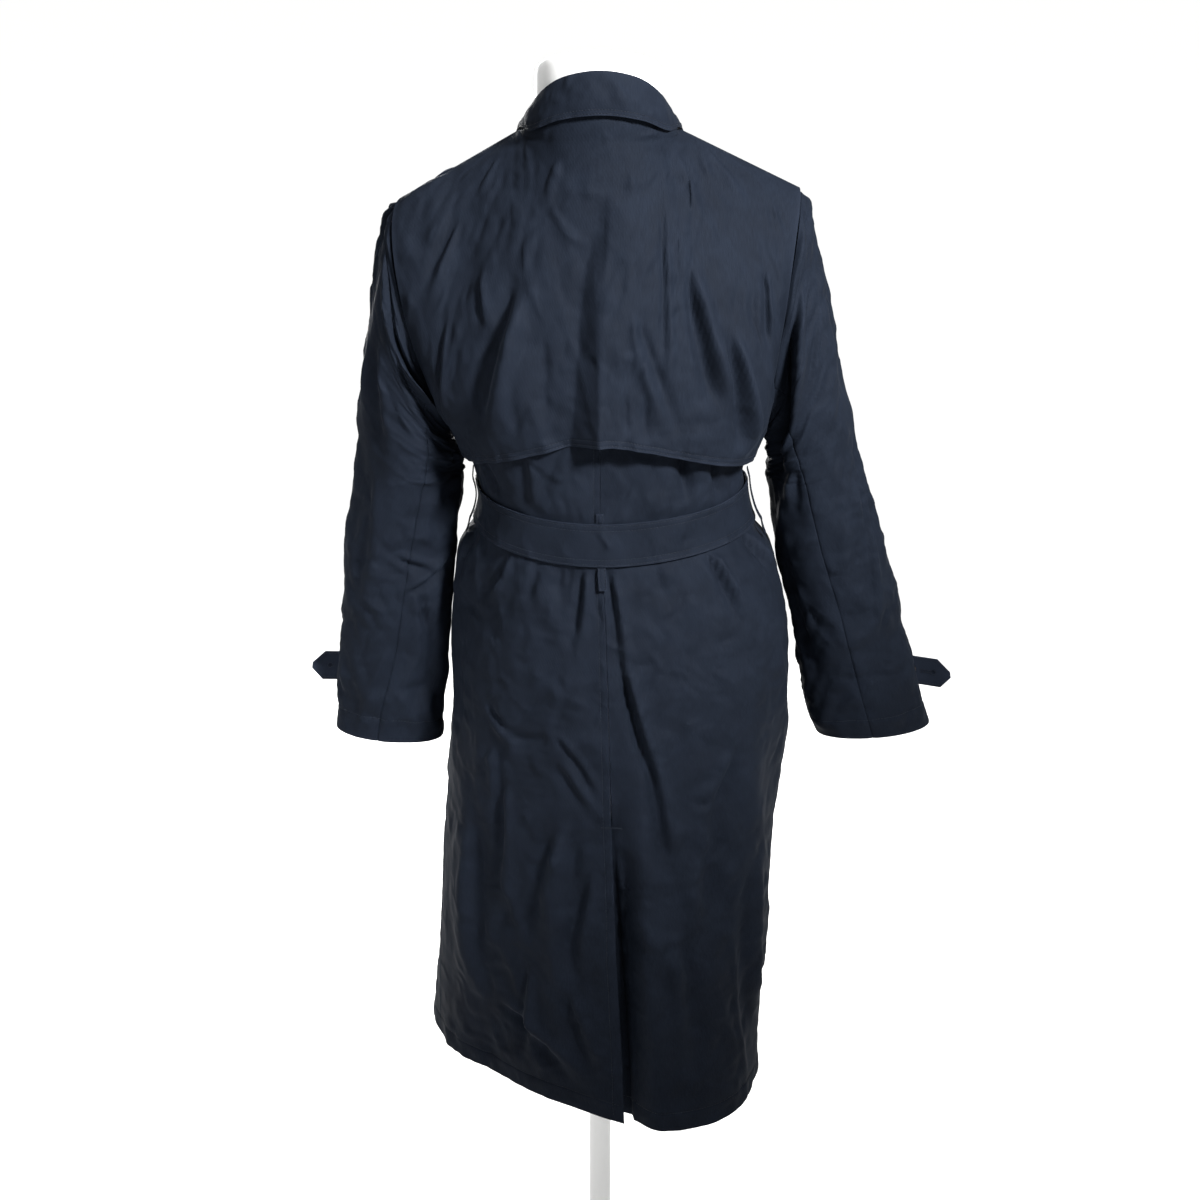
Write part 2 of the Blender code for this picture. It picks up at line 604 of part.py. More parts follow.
def sleeve_point(side, angle, v):
    """A sleeve's surface: angle round it in degrees, v 0 at the armhole, 1 just below the underarm, 2 at the cuff."""
    sign = 1.0 if side == "left" else -1.0
    angle, v = np.broadcast_arrays(np.asarray(angle, float), np.asarray(v, float))
    turn = np.radians(angle)
    rings = np.array(SLEEVES[side])
    row = smooth_table(np.linspace(1, 2, len(rings)), rings, np.clip(v, 1, 2))
    lean = np.radians(row[..., 5])[..., None]
    outward = stack(sign, 0, 0) * np.cos(lean) + stack(0, 0, 1) * np.sin(lean)
    centre = row[..., :3]
    across = outward * (row[..., 3] * np.cos(turn))[..., None]
    low = centre + across + stack(0, 1, 0) * (row[..., 4] * np.sin(turn))[..., None]

    share = (1 + np.cos(turn)) / 2
    h = UNDERARM_Z + UPPER * share
    seam_g = 0.0 if side == "left" else 2.0
    back_edge = cloth_point(True, np.full_like(h, seam_g), h)
    seam_g = 4.0 if side == "left" else 2.0
    front_edge = cloth_point(False, np.full_like(h, seam_g), h)
    armhole = np.where((np.sin(turn) >= 0)[..., None], back_edge, front_edge)
    share = share[..., None]
    cap_out, cap_down = CAP_LEAVE[side]
    leave = stack(sign * 0.02, 0, -0.055) * (1 - share) + stack(sign * cap_out, 0, cap_down) * share
    leave = leave + stack(sign * 0.02, 0.030 * np.sin(turn), 0)
    away = leave / np.linalg.norm(leave, axis=-1, keepdims=True)
    armhole = armhole + away * 2 * SEAM + stack(sign * 0.0006, 0, 0)
    down = np.stack([rings[1, 0] - rings[0, 0], 0 * rings[0, 0], rings[1, 2] - rings[0, 2]])
    down = down / np.linalg.norm(down)
    arrive = down * (0.075 + 0.20 * share)
    u = np.clip(v, 0, 1)[..., None]
    start = armhole * (1 + 2 * u) + leave * u
    end = low * (3 - 2 * u) - arrive * (1 - u)
    high = start * (1 - u) ** 2 + end * u**2
    return np.where((v < 1)[..., None], high, low)


def sleeve_skin(side, angle, v, out):
    """The sleeve's surface moved out by a distance."""
    sign = 1.0 if side == "left" else -1.0
    across = sleeve_point(side, angle + 1.0, v) - sleeve_point(side, angle - 1.0, v)
    before, after = np.maximum(v - 0.01, 0), np.minimum(v + 0.01, 2)
    down = sleeve_point(side, angle, after) - sleeve_point(side, angle, before)
    normal = np.cross(down, across) * sign
    normal = normal / np.linalg.norm(normal, axis=-1, keepdims=True)
    return sleeve_point(side, angle, v) + normal * np.asarray(out)[..., None]


def back_seam(v):
    """Angle of the sleeve's back seam."""
    return BACK_SEAM_TOP + (BACK_SEAM_CUFF - BACK_SEAM_TOP) * ease(v / 2)


def sleeve_panel(name, side, first, last, columns):
    v = np.concatenate([np.linspace(0, 1, SLEEVE_TOP_ROWS), np.linspace(1, 2, SLEEVE_LOW_ROWS)[1:]])
    v = v[:, None] * np.ones(columns)
    share = np.linspace(0, 1, columns)
    angle = first(v) + (last(v) - first(v)) * share
    outer = sleeve_skin(side, angle, v, np.zeros_like(v))
    inner = sleeve_skin(side, angle, v, np.full_like(v, -CLOTH))
    return add_wall(name, outer, inner, GABARDINE)


SEAM_DEGREES = math.degrees(SEAM / 2 / 0.045)


def top_first(v):
    return np.full_like(v, FRONT_SEAM - 360 + SEAM_DEGREES)


def top_last(v):
    return back_seam(v) - SEAM_DEGREES


def under_first(v):
    return back_seam(v) + SEAM_DEGREES


def under_last(v):
    return np.full_like(v, FRONT_SEAM - SEAM_DEGREES)


for side in ("left", "right"):
    sleeve_panel("top_sleeve_" + side, side, top_first, top_last, 12)
    sleeve_panel("under_sleeve_" + side, side, under_first, under_last, 7)

# ---- cuff tabs: straps from the front seam, their pointed ends standing off sideways ----
TAB_WIDTH = 0.032
TAB_V = {"left": 1.815, "right": 1.825}
TAB_LEAVE = -62.0  # angle round the cuff at which the tab leaves the sleeve
TAB_FREE = {"left": 0.065, "right": 0.071}
TAB_RISE = {"left": 0.05, "right": -0.08}
TAB_THICK = 0.0022


def cuff_tab(side):
    sign = 1.0 if side == "left" else -1.0
    angles = np.linspace(FRONT_SEAM - 360 + 4, TAB_LEAVE, 6)
    v = np.full(len(angles), TAB_V[side])
    line = sleeve_skin(side, angles, v, np.full(len(angles), 0.0017))
    heading = line[-1] - line[-2]
    heading[2] = TAB_RISE[side] * np.linalg.norm(heading)
    heading = heading / np.linalg.norm(heading)
    ends = np.array([0.25, 0.55, 0.78, 0.90, 1.0])
    free = line[-1] + heading * (ends * TAB_FREE[side])[:, None]
    line = np.concatenate([line, free])
    half = np.full(len(line), TAB_WIDTH / 2)
    half[-2:] = TAB_WIDTH * 0.36, TAB_WIDTH * 0.06
    lean = math.radians(SLEEVES[side][-1].lean)
    up = np.array([-sign * math.sin(lean), 0, math.cos(lean)])
    inner = np.stack([line - up * half[:, None], line, line + up * half[:, None]])
    along = np.gradient(line, axis=0)
    normal = np.cross(along, up) * sign
    normal = normal / np.linalg.norm(normal, axis=-1, keepdims=True)
    outer = inner + normal * TAB_THICK
    add_wall("cuff_tab_" + side, outer, inner, GABARDINE)


for side in ("left", "right"):
    cuff_tab(side)


def button_profile(radius, thick):
    """A flat button with a rounded rim and a shallow dish."""
    return [
        (radius * 0.80, 0.0),
        (radius, thick * 0.35),
        (radius, thick * 0.75),
        (radius * 0.88, thick),
        (radius * 0.70, thick * 0.80),
    ]


for side in ("left", "right"):
    spot = sleeve_skin(side, np.full(2, CUFF_BUTTON_ANGLE), np.full(2, TAB_V[side]), np.array([BUTTON_SEAT, 0.01]))
    profile = button_profile(CUFF_BUTTON_RADIUS, CUFF_BUTTON_THICK)
    turned("cuff_button_" + side, profile, spot[0], spot[1] - spot[0], BUTTON_FINISH, BUTTON_SIDES)

# ---- belt: one strap, once round and then over its own beginning at the front ----
BELT_THICK = 0.0022
BELT_LIFT = 0.0022  # it lies over the back loop, a little off the coat
LAYER_GAP = 0.0009
BUCKLE_G = 2.98


def strap(name, g, low, high, out, thick, sides):
    """A strap along g between two heights."""
    levels = np.stack([low, high])
    grid = np.stack([g, g])
    lift = np.stack([out, out])
    walls = []
    for away in (lift + thick, lift):
        behind = dressed(True, np.clip(grid, 0, 2), levels, away)
        before = dressed(False, np.clip(grid, 2, 4), levels, away)
        walls.append(np.where(sides[None, :, None], behind, before))
    add_wall(name, walls[0], walls[1], GABARDINE)


under_right = left_g[BELT_ROW] > right_g[BELT_ROW][-1] + 0.02
left_front_columns = left_g[BELT_ROW][under_right]
over_right = right_g[BELT_ROW][right_g[BELT_ROW] > BUCKLE_G + 0.02]
first_round = np.concatenate([[BUCKLE_G], over_right, left_front_columns])
back_round = np.concatenate([LEFT_BACK_COLUMNS[1:], 2 - LEFT_BACK_COLUMNS[::-1]])
to_buckle = right_g[BELT_ROW][1:-1]
to_buckle = to_buckle[to_buckle < BUCKLE_G - 0.02]
tail = np.concatenate([[BUCKLE_G], over_right, left_front_columns[:-3]])
belt_g = np.concatenate([first_round, back_round, to_buckle, tail])
layer_start = len(belt_g) - len(tail) - 3
second_layer = ease((np.arange(len(belt_g)) - layer_start) / 3.0)
belt_out = BELT_LIFT + second_layer * (BELT_THICK + LAYER_GAP)
strap("belt", belt_g, belt_low(belt_g), belt_high(belt_g), belt_out, BELT_THICK, belt_g < 2)

# ---- belt loops ----
LOOP_HALF = 0.0048
LOOP_THICK = 0.0010
BELT_OUT = BELT_LIFT + BELT_THICK


def belt_loop(name, g, heights, outs):
    """A narrow strap up the coat: outs are its distances from the cloth, from its foot to its head."""
    columns = np.array([g - LOOP_HALF / REACH, g + LOOP_HALF / REACH])
    grid = np.broadcast_to(columns, (len(outs), 2))
    levels = np.array(heights)[:, None] * np.ones(2)
    lift = np.array(outs)[:, None] * np.ones(2)
    outer = dressed(True, grid, levels, lift + LOOP_THICK)
    add_wall(name, outer, dressed(True, grid, levels, lift), GABARDINE)


low, high = belt_low(1.0), belt_high(1.0)
heights = [low - 0.024, low - 0.008, low, high, high + 0.011]
belt_loop("belt_loop_back", 1.0, heights, [0.0020, 0.0016, 0.0006, 0.0006, 0.0016])  # flat under the belt
# Name, g, slack below the belt, and how far the foot and the head stand off the coat.
SIDE_LOOPS = (("belt_loop_left", 0.03, 0.0005, 0.0, 0.0006), ("belt_loop_right", 1.95, 0.0035, 0.0012, 0.0018))
for name, g, slack, foot, head in SIDE_LOOPS:
    over = BELT_OUT + 0.0010
    low, high = belt_low(g), belt_high(g)
    heights = [low - 0.016, low - 0.003, high + 0.003, high + 0.014]
    belt_loop(name, g, heights, [foot, over + slack, over, head])

# ---- buckle: a flat frame over the belt at the front ----
BUCKLE_HALF_WIDTH = 0.030
BUCKLE_HALF_HEIGHT = 0.032
BUCKLE_BAR = 0.0075
BUCKLE_THICK = 0.0032
buckle_seat = dressed(False, np.array([BUCKLE_G + 0.02]), np.array([BELT_SIDE_Z]), np.array([0.0]))[0]
buckle_y = buckle_seat[1] - BELT_LIFT - 2 * (BELT_THICK + LAYER_GAP)
buckle_points = []
for y in (buckle_y, buckle_y - BUCKLE_THICK):
    for bar in (0.0, BUCKLE_BAR):
        for across, up in ((1, 1), (-1, 1), (-1, -1), (1, -1)):
            x = buckle_seat[0] + (BUCKLE_HALF_WIDTH - bar) * across
            z = buckle_seat[2] + (BUCKLE_HALF_HEIGHT - bar) * up
            buckle_points.append((x, y, z))
buckle_faces = []
for k in range(4):
    n = (k + 1) % 4
    buckle_faces.append((k, n, 4 + n, 4 + k))
    buckle_faces.append((8 + k, 12 + k, 12 + n, 8 + n))
    buckle_faces.append((k, 8 + k, 8 + n, n))
    buckle_faces.append((4 + k, 4 + n, 12 + n, 12 + k))
buckle = add_mesh("buckle", buckle_points, buckle_faces, BUTTON_FINISH)
rounding = buckle.modifiers.new("rounded edges", "BEVEL")
rounding.width = 0.0012
rounding.segments = 2
rounding.limit_method = "ANGLE"

# ---- front buttons: two columns of four on the right front ----
BUTTON_ROWS = (BELT_ROW + 3, VENT_ROWS + 5, VENT_ROWS + 3, VENT_ROWS + 1)
BUTTON_COLUMNS = (6, 12)  # the right front's columns at its middle and next to its edge
number = 0
for row in BUTTON_ROWS:
    for column in BUTTON_COLUMNS:
        number += 1
        place = np.full(2, right_g[row][column])
        spot = dressed(False, place, np.full(2, right_h[row][column]), np.array([BUTTON_SEAT, 0.01]))
        profile = button_profile(BUTTON_RADIUS, BUTTON_THICK)
        turned("button_%d" % number, profile, spot[0], spot[1] - spot[0], BUTTON_FINISH, BUTTON_SIDES)

# ---- dress form, pole and base ----
FORM_SIDES = 28


def form_ring(x, y, z, half_width, half_depth, slant=0.0):
    angle = 2 * math.pi * np.arange(FORM_SIDES) / FORM_SIDES
    deep = half_depth * np.sin(angle)
    return stack(x + half_width * np.cos(angle), y + deep, z + slant * deep)


form_rows = [form_ring(row.x, row.y, row.z, row.half_width, row.half_depth) for row in FORM_BODY]
slope = {}
for sign, tip in ((1, LEFT_TIP), (-1, RIGHT_TIP)):
    slope[sign] = (NECK_POINT_Z - tip[2]) / (sign * tip[0] - NECK_WIDTH / 2)
for half_width, half_depth in FORM_SHOULDER:
    ring = form_ring(0, -0.005, NECK_POINT_Z, half_width, half_depth)
    across = (1 + ring[:, 0] / half_width) / 2
    fall = slope[-1] + (slope[1] - slope[-1]) * across
    ring[:, 2] -= (half_width - NECK_WIDTH / 2) * fall + FORM_CLEAR / np.cos(np.arctan(fall))
    form_rows.append(ring)
neck_rows = (
    (NECK_POINT_Z - 0.004, 0.0, 0.0),
    (FORM_TOP_Z - 0.016, 0.0, 1.0),
    (FORM_TOP_Z - 0.005, 0.004, 1.0),
    (FORM_TOP_Z, 0.013, 1.0),
)
for z, less, slanted in neck_rows:
    radius = FORM_NECK_RADIUS - less
    form_rows.append(form_ring(FORM_NECK_X, -0.003, z, radius, radius, FORM_TOP_SLANT * slanted))
form_points = np.concatenate(form_rows)
form_faces = [tuple(range(FORM_SIDES))[::-1]]
for row in range(len(form_rows) - 1):
    for k in range(FORM_SIDES):
        a = row * FORM_SIDES + k
        b = row * FORM_SIDES + (k + 1) % FORM_SIDES
        form_faces.append((a, b, b + FORM_SIDES, a + FORM_SIDES))
form_faces.append(tuple(range(len(form_points) - FORM_SIDES, len(form_points))))
add_mesh("form_torso", form_points, form_faces, FORM_FINISH)

turned(
    "form_pole",
    [(POLE_RADIUS, 0.0), (POLE_RADIUS, FORM_BODY[0].z - BASE_HEIGHT - 0.0006)],
    (0, 0, BASE_HEIGHT + 0.0003),
    (0, 0, 1),
    COATED_STEEL,
    20,
)
base_profile = [
    (BASE_RADIUS, 0.0),
    (BASE_RADIUS, BASE_HEIGHT * 0.5),
    (BASE_RADIUS * 0.96, BASE_HEIGHT * 0.8),
    (0.04, BASE_HEIGHT),
]
turned(
    "form_base",
    base_profile,
    (0, 0, 0),
    (0, 0, 1),
    COATED_STEEL,
    40,
)
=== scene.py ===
"""A navy gabardine trench coat, double breasted, with a storm flap and a belt, worn by a white dress form.

Metres, +Z up, the floor at z = 0. The coat's front faces -Y, its back +Y, and the wearer's left is +X.
"""

import math
from collections import namedtuple

import bpy
import numpy as np
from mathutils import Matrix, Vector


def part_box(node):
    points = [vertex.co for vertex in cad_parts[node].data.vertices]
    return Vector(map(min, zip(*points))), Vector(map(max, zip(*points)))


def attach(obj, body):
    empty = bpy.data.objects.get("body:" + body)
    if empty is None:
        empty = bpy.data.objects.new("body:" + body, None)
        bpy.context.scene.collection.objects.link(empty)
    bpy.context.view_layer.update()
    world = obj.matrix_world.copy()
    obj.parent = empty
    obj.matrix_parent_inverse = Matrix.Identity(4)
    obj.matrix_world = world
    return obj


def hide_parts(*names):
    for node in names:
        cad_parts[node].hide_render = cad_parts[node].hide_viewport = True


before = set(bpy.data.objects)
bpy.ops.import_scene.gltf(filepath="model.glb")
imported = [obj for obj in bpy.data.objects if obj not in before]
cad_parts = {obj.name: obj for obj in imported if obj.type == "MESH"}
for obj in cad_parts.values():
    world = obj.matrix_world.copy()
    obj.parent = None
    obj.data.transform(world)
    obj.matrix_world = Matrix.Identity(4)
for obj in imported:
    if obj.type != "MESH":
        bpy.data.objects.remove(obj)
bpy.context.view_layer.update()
bpy.ops.object.select_all(action="DESELECT")


# ---- Studio ----
# A seamless sheet of white vinyl between dim white walls. A focused spot with a soft edge stands behind the
# coat and above it, a soft box faces its front, a weak one its left side, and a broad sun fills in from
# overhead. The camera stands 2.4 m behind the coat, above head height, and looks 17.5 degrees down on it.
def linear(colour):
    """An sRGB hex colour as linear red, green, blue and alpha."""
    parts = [int(colour[k : k + 2], 16) / 255 for k in (1, 3, 5)]
    return tuple(p / 12.92 if p <= 0.04045 else ((p + 0.055) / 1.055) ** 2.4 for p in parts) + (1.0,)


def new_finish(name, colour, roughness):
    """A finish with its shader's plain values. Returns the material and its shader."""
    finish = bpy.data.materials.new(name)
    finish.use_nodes = True
    shader = finish.node_tree.nodes["Principled BSDF"]
    shader.inputs["Base Color"].default_value = linear(colour)
    shader.inputs["Roughness"].default_value = roughness
    return finish, shader


def add_node(finish, kind, settings, links):
    """A node in a finish: its settings by property or socket, and its links from other sockets."""
    node = finish.node_tree.nodes.new(kind)
    for name, value in settings.items():
        if isinstance(name, int) or name in node.inputs:
            node.inputs[name].default_value = value
        else:
            setattr(node, name, value)
    for name, source in links.items():
        finish.node_tree.links.new(source, node.inputs[name])
    return node


vinyl, _ = new_finish("matt white vinyl", "#f4f4f3", 0.7)
bpy.ops.mesh.primitive_plane_add(size=90, location=(0, 0, 0))
floor = bpy.context.object
floor.name = "floor"
floor.data.materials.append(vinyl)

bpy.context.scene.view_settings.view_transform = "Standard"
walls = bpy.data.worlds.new("white walls")
bpy.context.scene.world = walls
walls.use_nodes = True
background = walls.node_tree.nodes["Background"]
background.inputs["Color"].default_value = linear("#ffffff")
background.inputs["Strength"].default_value = 0.15


def add_light(name, light, place, target):
    """Stands a light at a place and turns it to face its target."""
    stand = bpy.data.objects.new(name, light)
    stand.location = place
    away = np.array(place, float) - np.array(target, float)
    level = math.hypot(away[0], away[1])
    stand.rotation_euler = (math.atan2(level, away[2]), 0, math.atan2(away[0], -away[1]))
    bpy.context.scene.collection.objects.link(stand)


def add_soft_box(name, place, target, size, power, fan):
    """A square soft box. fan is how widely its grid lets the light out, in degrees."""
    lamp = bpy.data.lights.new(name, "AREA")
    lamp.size = size
    lamp.energy = power
    lamp.spread = math.radians(fan)
    add_light(name, lamp, place, target)


add_soft_box("front fill", (0.5, -2.8, 1.3), (0, 0, 1.0), 1.4, 80, 150)
# The spot lights the coat's back down to the hips.
key = bpy.data.lights.new("key", "SPOT")
key.energy = 560
key.spot_size = math.radians(37)
key.spot_blend = 0.85
key.shadow_soft_size = 0.16
add_light("key", key, (-0.98, 1.36, 2.20), (0, 0.10, 1.24))
add_soft_box("side fill", (1.5, 1.7, 1.5), (0.27, -0.03, 0.86), 0.4, 1.0, 26)
overhead = bpy.data.lights.new("overhead", "SUN")
overhead.energy = 3.3
overhead.angle = math.radians(12)
bpy.context.scene.collection.objects.link(bpy.data.objects.new("overhead", overhead))

CAMERA_PITCH = 17.5
camera = bpy.data.cameras.new("camera")
camera.lens = 69.18
camera.sensor_width = 36.0
camera_stand = bpy.data.objects.new("camera", camera)
camera_stand.location = (0, 2.40, 1.70)
camera_stand.rotation_euler = (math.radians(90 - CAMERA_PITCH), 0, math.radians(180))
bpy.context.scene.collection.objects.link(camera_stand)
bpy.context.scene.camera = camera_stand

# ---- Dress form ----
# A limbless torso with a capped neck, moulded in white plastic, on a white powder-coated steel pole and foot.
# The torso is one hollow moulding, slightly uneven in gloss; the pole stands in the foot's centre.
def feed(shader, socket, output):
    """Links an output to a shader's socket."""
    shader.id_data.links.new(output, shader.inputs[socket])


def object_noise(finish, scale, detail):
    """Noise that is fixed to the object."""
    place = add_node(finish, "ShaderNodeTexCoord", {}, {}).outputs["Object"]
    settings = {"Scale": scale, "Detail": detail}
    return add_node(finish, "ShaderNodeTexNoise", settings, {"Vector": place}).outputs["Fac"]


def tone_between(finish, low, high, share):
    """A colour that goes from one to another with a share."""
    settings = {"data_type": "RGBA", 6: linear(low), 7: linear(high)}
    return add_node(finish, "ShaderNodeMix", settings, {0: share}).outputs[2]


def gloss_between(finish, low, high, share):
    """A roughness that goes from low to high with a share."""
    settings = {"To Min": low, "To Max": high}
    return add_node(finish, "ShaderNodeMapRange", settings, {"Value": share}).outputs["Result"]


def relief_from(finish, strength, distance, height, under=None):
    """Surface relief from a height, laid over other relief where there is some."""
    links = {"Height": height} if under is None else {"Height": height, "Normal": under}
    settings = {"Strength": strength, "Distance": distance}
    return add_node(finish, "ShaderNodeBump", settings, links).outputs["Normal"]


moulded, moulded_shader = new_finish("white moulded plastic", "#f2f2f1", 0.42)
moulded_flow = object_noise(moulded, 9.0, 3.0)
feed(moulded_shader, "Roughness", gloss_between(moulded, 0.36, 0.50, moulded_flow))
feed(moulded_shader, "Base Color", tone_between(moulded, "#f6f6f5", "#ebebea", moulded_flow))

FormRing = namedtuple("FormRing", "z x y half_width half_depth slant")
FORM_RINGS = [
    FormRing(0.838, -0.012, 0.000, 0.118, 0.093, 0.0),
    FormRing(0.850, -0.012, 0.000, 0.135, 0.109, 0.0),
    FormRing(0.900, -0.011, 0.000, 0.143, 0.118, 0.0),
    FormRing(0.970, -0.010, 0.000, 0.130, 0.110, 0.0),
    FormRing(1.045, -0.010, 0.000, 0.112, 0.098, 0.0),
    FormRing(1.110, -0.007, 0.000, 0.120, 0.103, 0.0),
    FormRing(1.190, -0.003, 0.000, 0.138, 0.108, 0.0),
    FormRing(1.260, 0.000, -0.002, 0.148, 0.100, 0.0),
    FormRing(1.320, 0.000, -0.004, 0.155, 0.082, 0.0),
    FormRing(1.360, 0.000, -0.005, 0.162, 0.062, 0.0),
    FormRing(1.392, 0.000, -0.005, 0.152, 0.028, 0.0),
    FormRing(1.409, 0.000, -0.005, 0.122, 0.019, 0.0),
    FormRing(1.430, 0.0015, -0.004, 0.086, 0.022, 0.0),
    FormRing(1.446, 0.0015, -0.003, 0.0650, 0.0560, 0.0),
    FormRing(1.462, 0.0015, -0.003, 0.0648, 0.0648, 0.4),
    FormRing(1.502, 0.0015, -0.003, 0.0652, 0.0652, 1.0),
    FormRing(1.511, 0.0015, -0.003, 0.0640, 0.0640, 1.0),
    FormRing(1.5165, 0.0015, -0.003, 0.0580, 0.0580, 1.0),
    FormRing(1.5190, 0.0015, -0.003, 0.0400, 0.0400, 1.0),
]
FORM_CAP_SLANT = 0.28  # the cap is higher at the back than at the front
start = FORM_RINGS[0]
centre = (start.x, start.y, start.z)
bpy.ops.mesh.primitive_circle_add(vertices=48, radius=1, fill_type="NGON", location=centre)
torso = bpy.context.object
torso.name = "dress_form"
bpy.ops.object.mode_set(mode="EDIT")
bpy.ops.transform.resize(value=(start.half_width, start.half_depth, 1), center_override=centre)
for low, high in zip(FORM_RINGS, FORM_RINGS[1:]):
    step = (high.x - low.x, high.y - low.y, high.z - low.z)
    bpy.ops.mesh.extrude_region_move(TRANSFORM_OT_translate={"value": step})
    growth = (high.half_width / low.half_width, high.half_depth / low.half_depth, 1)
    bpy.ops.transform.resize(value=growth, center_override=(high.x, high.y, high.z))
bpy.ops.mesh.select_all(action="SELECT")
bpy.ops.mesh.normals_make_consistent(inside=False)
bpy.ops.object.mode_set(mode="OBJECT")
bpy.ops.object.transform_apply(location=True, rotation=True, scale=True)
for point in torso.data.vertices:
    ring = min(FORM_RINGS, key=lambda row: abs(row.z - point.co.z))
    point.co.z += FORM_CAP_SLANT * ring.slant * (point.co.y - ring.y)
softened = torso.modifiers.new("softened", "SUBSURF")
softened.levels = softened.render_levels = 2
bpy.ops.object.modifier_apply(modifier=softened.name)
bpy.ops.object.shade_smooth()
torso.data.materials.append(moulded)
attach(torso, "root")
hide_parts("form_torso")

coated, coated_shader = new_finish("white powder-coated steel", "#f0f0ef", 0.38)
coated_peel = object_noise(coated, 420.0, 1.0)  # orange peel of about 2 mm, as sprayed powder leaves
feed(coated_shader, "Normal", relief_from(coated, 0.12, 0.0004, coated_peel))
feed(coated_shader, "Roughness", gloss_between(coated, 0.32, 0.46, coated_peel))

POLE_RADIUS = 0.0125
FOOT_RADIUS = 0.170
FOOT_HEIGHT = 0.022
FOOT_ROUNDING = 0.008
pole_low, pole_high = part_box("form_pole")
for name, radius, low, high in (
    ("form_pole", POLE_RADIUS, pole_low[2], pole_high[2]),
    ("form_base", FOOT_RADIUS, 0.0, FOOT_HEIGHT),
):
    centre = (0, 0, (low + high) / 2)
    bpy.ops.mesh.primitive_cylinder_add(vertices=96, radius=radius, depth=high - low, location=centre)
    stand = bpy.context.object
    stand.name = name + "_steel"
    bpy.ops.object.transform_apply(location=True, rotation=True, scale=True)
    if name == "form_base":
        bpy.ops.object.mode_set(mode="EDIT")
        bpy.ops.mesh.select_all(action="DESELECT")
        bpy.ops.object.mode_set(mode="OBJECT")
        for edge in stand.data.edges:
            edge.select = all(stand.data.vertices[k].co.z > low + 0.01 for k in edge.vertices)
        bpy.ops.object.mode_set(mode="EDIT")
        bpy.ops.mesh.bevel(offset=FOOT_ROUNDING, segments=6, affect="EDGES")
        bpy.ops.object.mode_set(mode="OBJECT")
    bpy.ops.object.shade_smooth_by_angle(angle=math.radians(35))
    stand.data.materials.append(coated)
    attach(stand, "root")
    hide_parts(name)

# ---- Coat cloth ----
# Navy cotton gabardine, a dense steep twill. The coat's panels are cut from it and sewn together with navy
# thread, and every panel of the body lies on one surface round the form.

# On that surface g is 0 at the left side seam, 1 at the centre back, 2 at the right side seam, 3 at the
# centre front and 4 back at the left side seam. h is the height up to the underarm, and above it goes on up
# the cloth to the neck.
CLOTH = 0.0016
REACH = 0.24  # mean length of cloth in one unit of g
PITCH = 0.0032  # spacing of the points in a panel
UNDERARM_Z = 1.150
UPPER = 0.27  # length of cloth from the underarm level to the neck
NECK_WIDTH = 0.158
NECK_DEPTH = 0.080
NECK_Y = -0.006
NECK_POINT_Z = 1.4475
NECK_BACK_RISE = 0.026
NECK_FRONT_DROP = 0.0625
LEFT_TIP = (0.2050, -0.004, 1.376)  # outer end of each shoulder seam
RIGHT_TIP = (-0.2075, -0.004, 1.386)
ARMHOLE_SPREAD = (0.090, 0.005)
ARMHOLE_SHARE = 0.60
CORNER_REACH = 0.20
CORNER_OFFSETS = (-1.0, -0.667, -0.333, 0.0, 0.333, 0.667, 1.0)
CORNER_WEIGHTS = (0.0625, 0.125, 0.1875, 0.25, 0.1875, 0.125, 0.0625)

Section = namedtuple("Section", "z left left_back back right_back right right_front front left_front turn")
# Distance from the pole's axis to the cloth every 45 degrees round, and the turn in degrees of the back seam.
SECTIONS = [
    Section(0.420, 0.185, 0.153, 0.187, 0.220, 0.167, 0.190, 0.170, 0.205, 8.0),
    Section(0.560, 0.181, 0.157, 0.176, 0.205, 0.184, 0.186, 0.164, 0.190, 6.2),
    Section(0.660, 0.175, 0.159, 0.168, 0.196, 0.192, 0.182, 0.160, 0.182, 5.0),
    Section(0.756, 0.167, 0.158, 0.161, 0.189, 0.200, 0.180, 0.156, 0.174, 4.1),
    Section(0.830, 0.162, 0.156, 0.157, 0.186, 0.206, 0.178, 0.153, 0.168, 3.5),
    Section(0.900, 0.163, 0.154, 0.152, 0.181, 0.207, 0.176, 0.149, 0.164, 2.9),
    Section(0.945, 0.160, 0.150, 0.147, 0.175, 0.203, 0.172, 0.144, 0.159, 2.4),
    Section(0.985, 0.156, 0.146, 0.140, 0.166, 0.195, 0.163, 0.136, 0.151, 1.8),
    Section(1.010, 0.152, 0.142, 0.135, 0.160, 0.187, 0.157, 0.130, 0.145, 1.0),
    Section(1.035, 0.135, 0.136, 0.131, 0.150, 0.166, 0.149, 0.126, 0.138, 0.5),
    Section(1.065, 0.127, 0.134, 0.129, 0.147, 0.156, 0.146, 0.124, 0.136, 0.0),
    Section(1.095, 0.134, 0.138, 0.128, 0.149, 0.155, 0.148, 0.125, 0.141, 0.0),
    Section(1.150, 0.153, 0.150, 0.127, 0.156, 0.171, 0.156, 0.128, 0.152, 0.0),
]
SECTION_Z = np.array([row.z for row in SECTIONS])
SECTION_COLUMNS = np.array([row[1:] for row in SECTIONS])


def smooth_table(knots, values, at):
    """Smooth curve through rows of values at the knots."""
    slopes = np.gradient(values, knots, axis=0)
    span = np.clip(np.searchsorted(knots, at) - 1, 0, len(knots) - 2)
    width = knots[span + 1] - knots[span]
    t = ((at - knots[span]) / width)[..., None]
    width = width[..., None]
    low = values[span] * (1 + 2 * t) + slopes[span] * width * t
    high = values[span + 1] * (3 - 2 * t) - slopes[span + 1] * width * (1 - t)
    return low * (1 - t) ** 2 + high * t**2


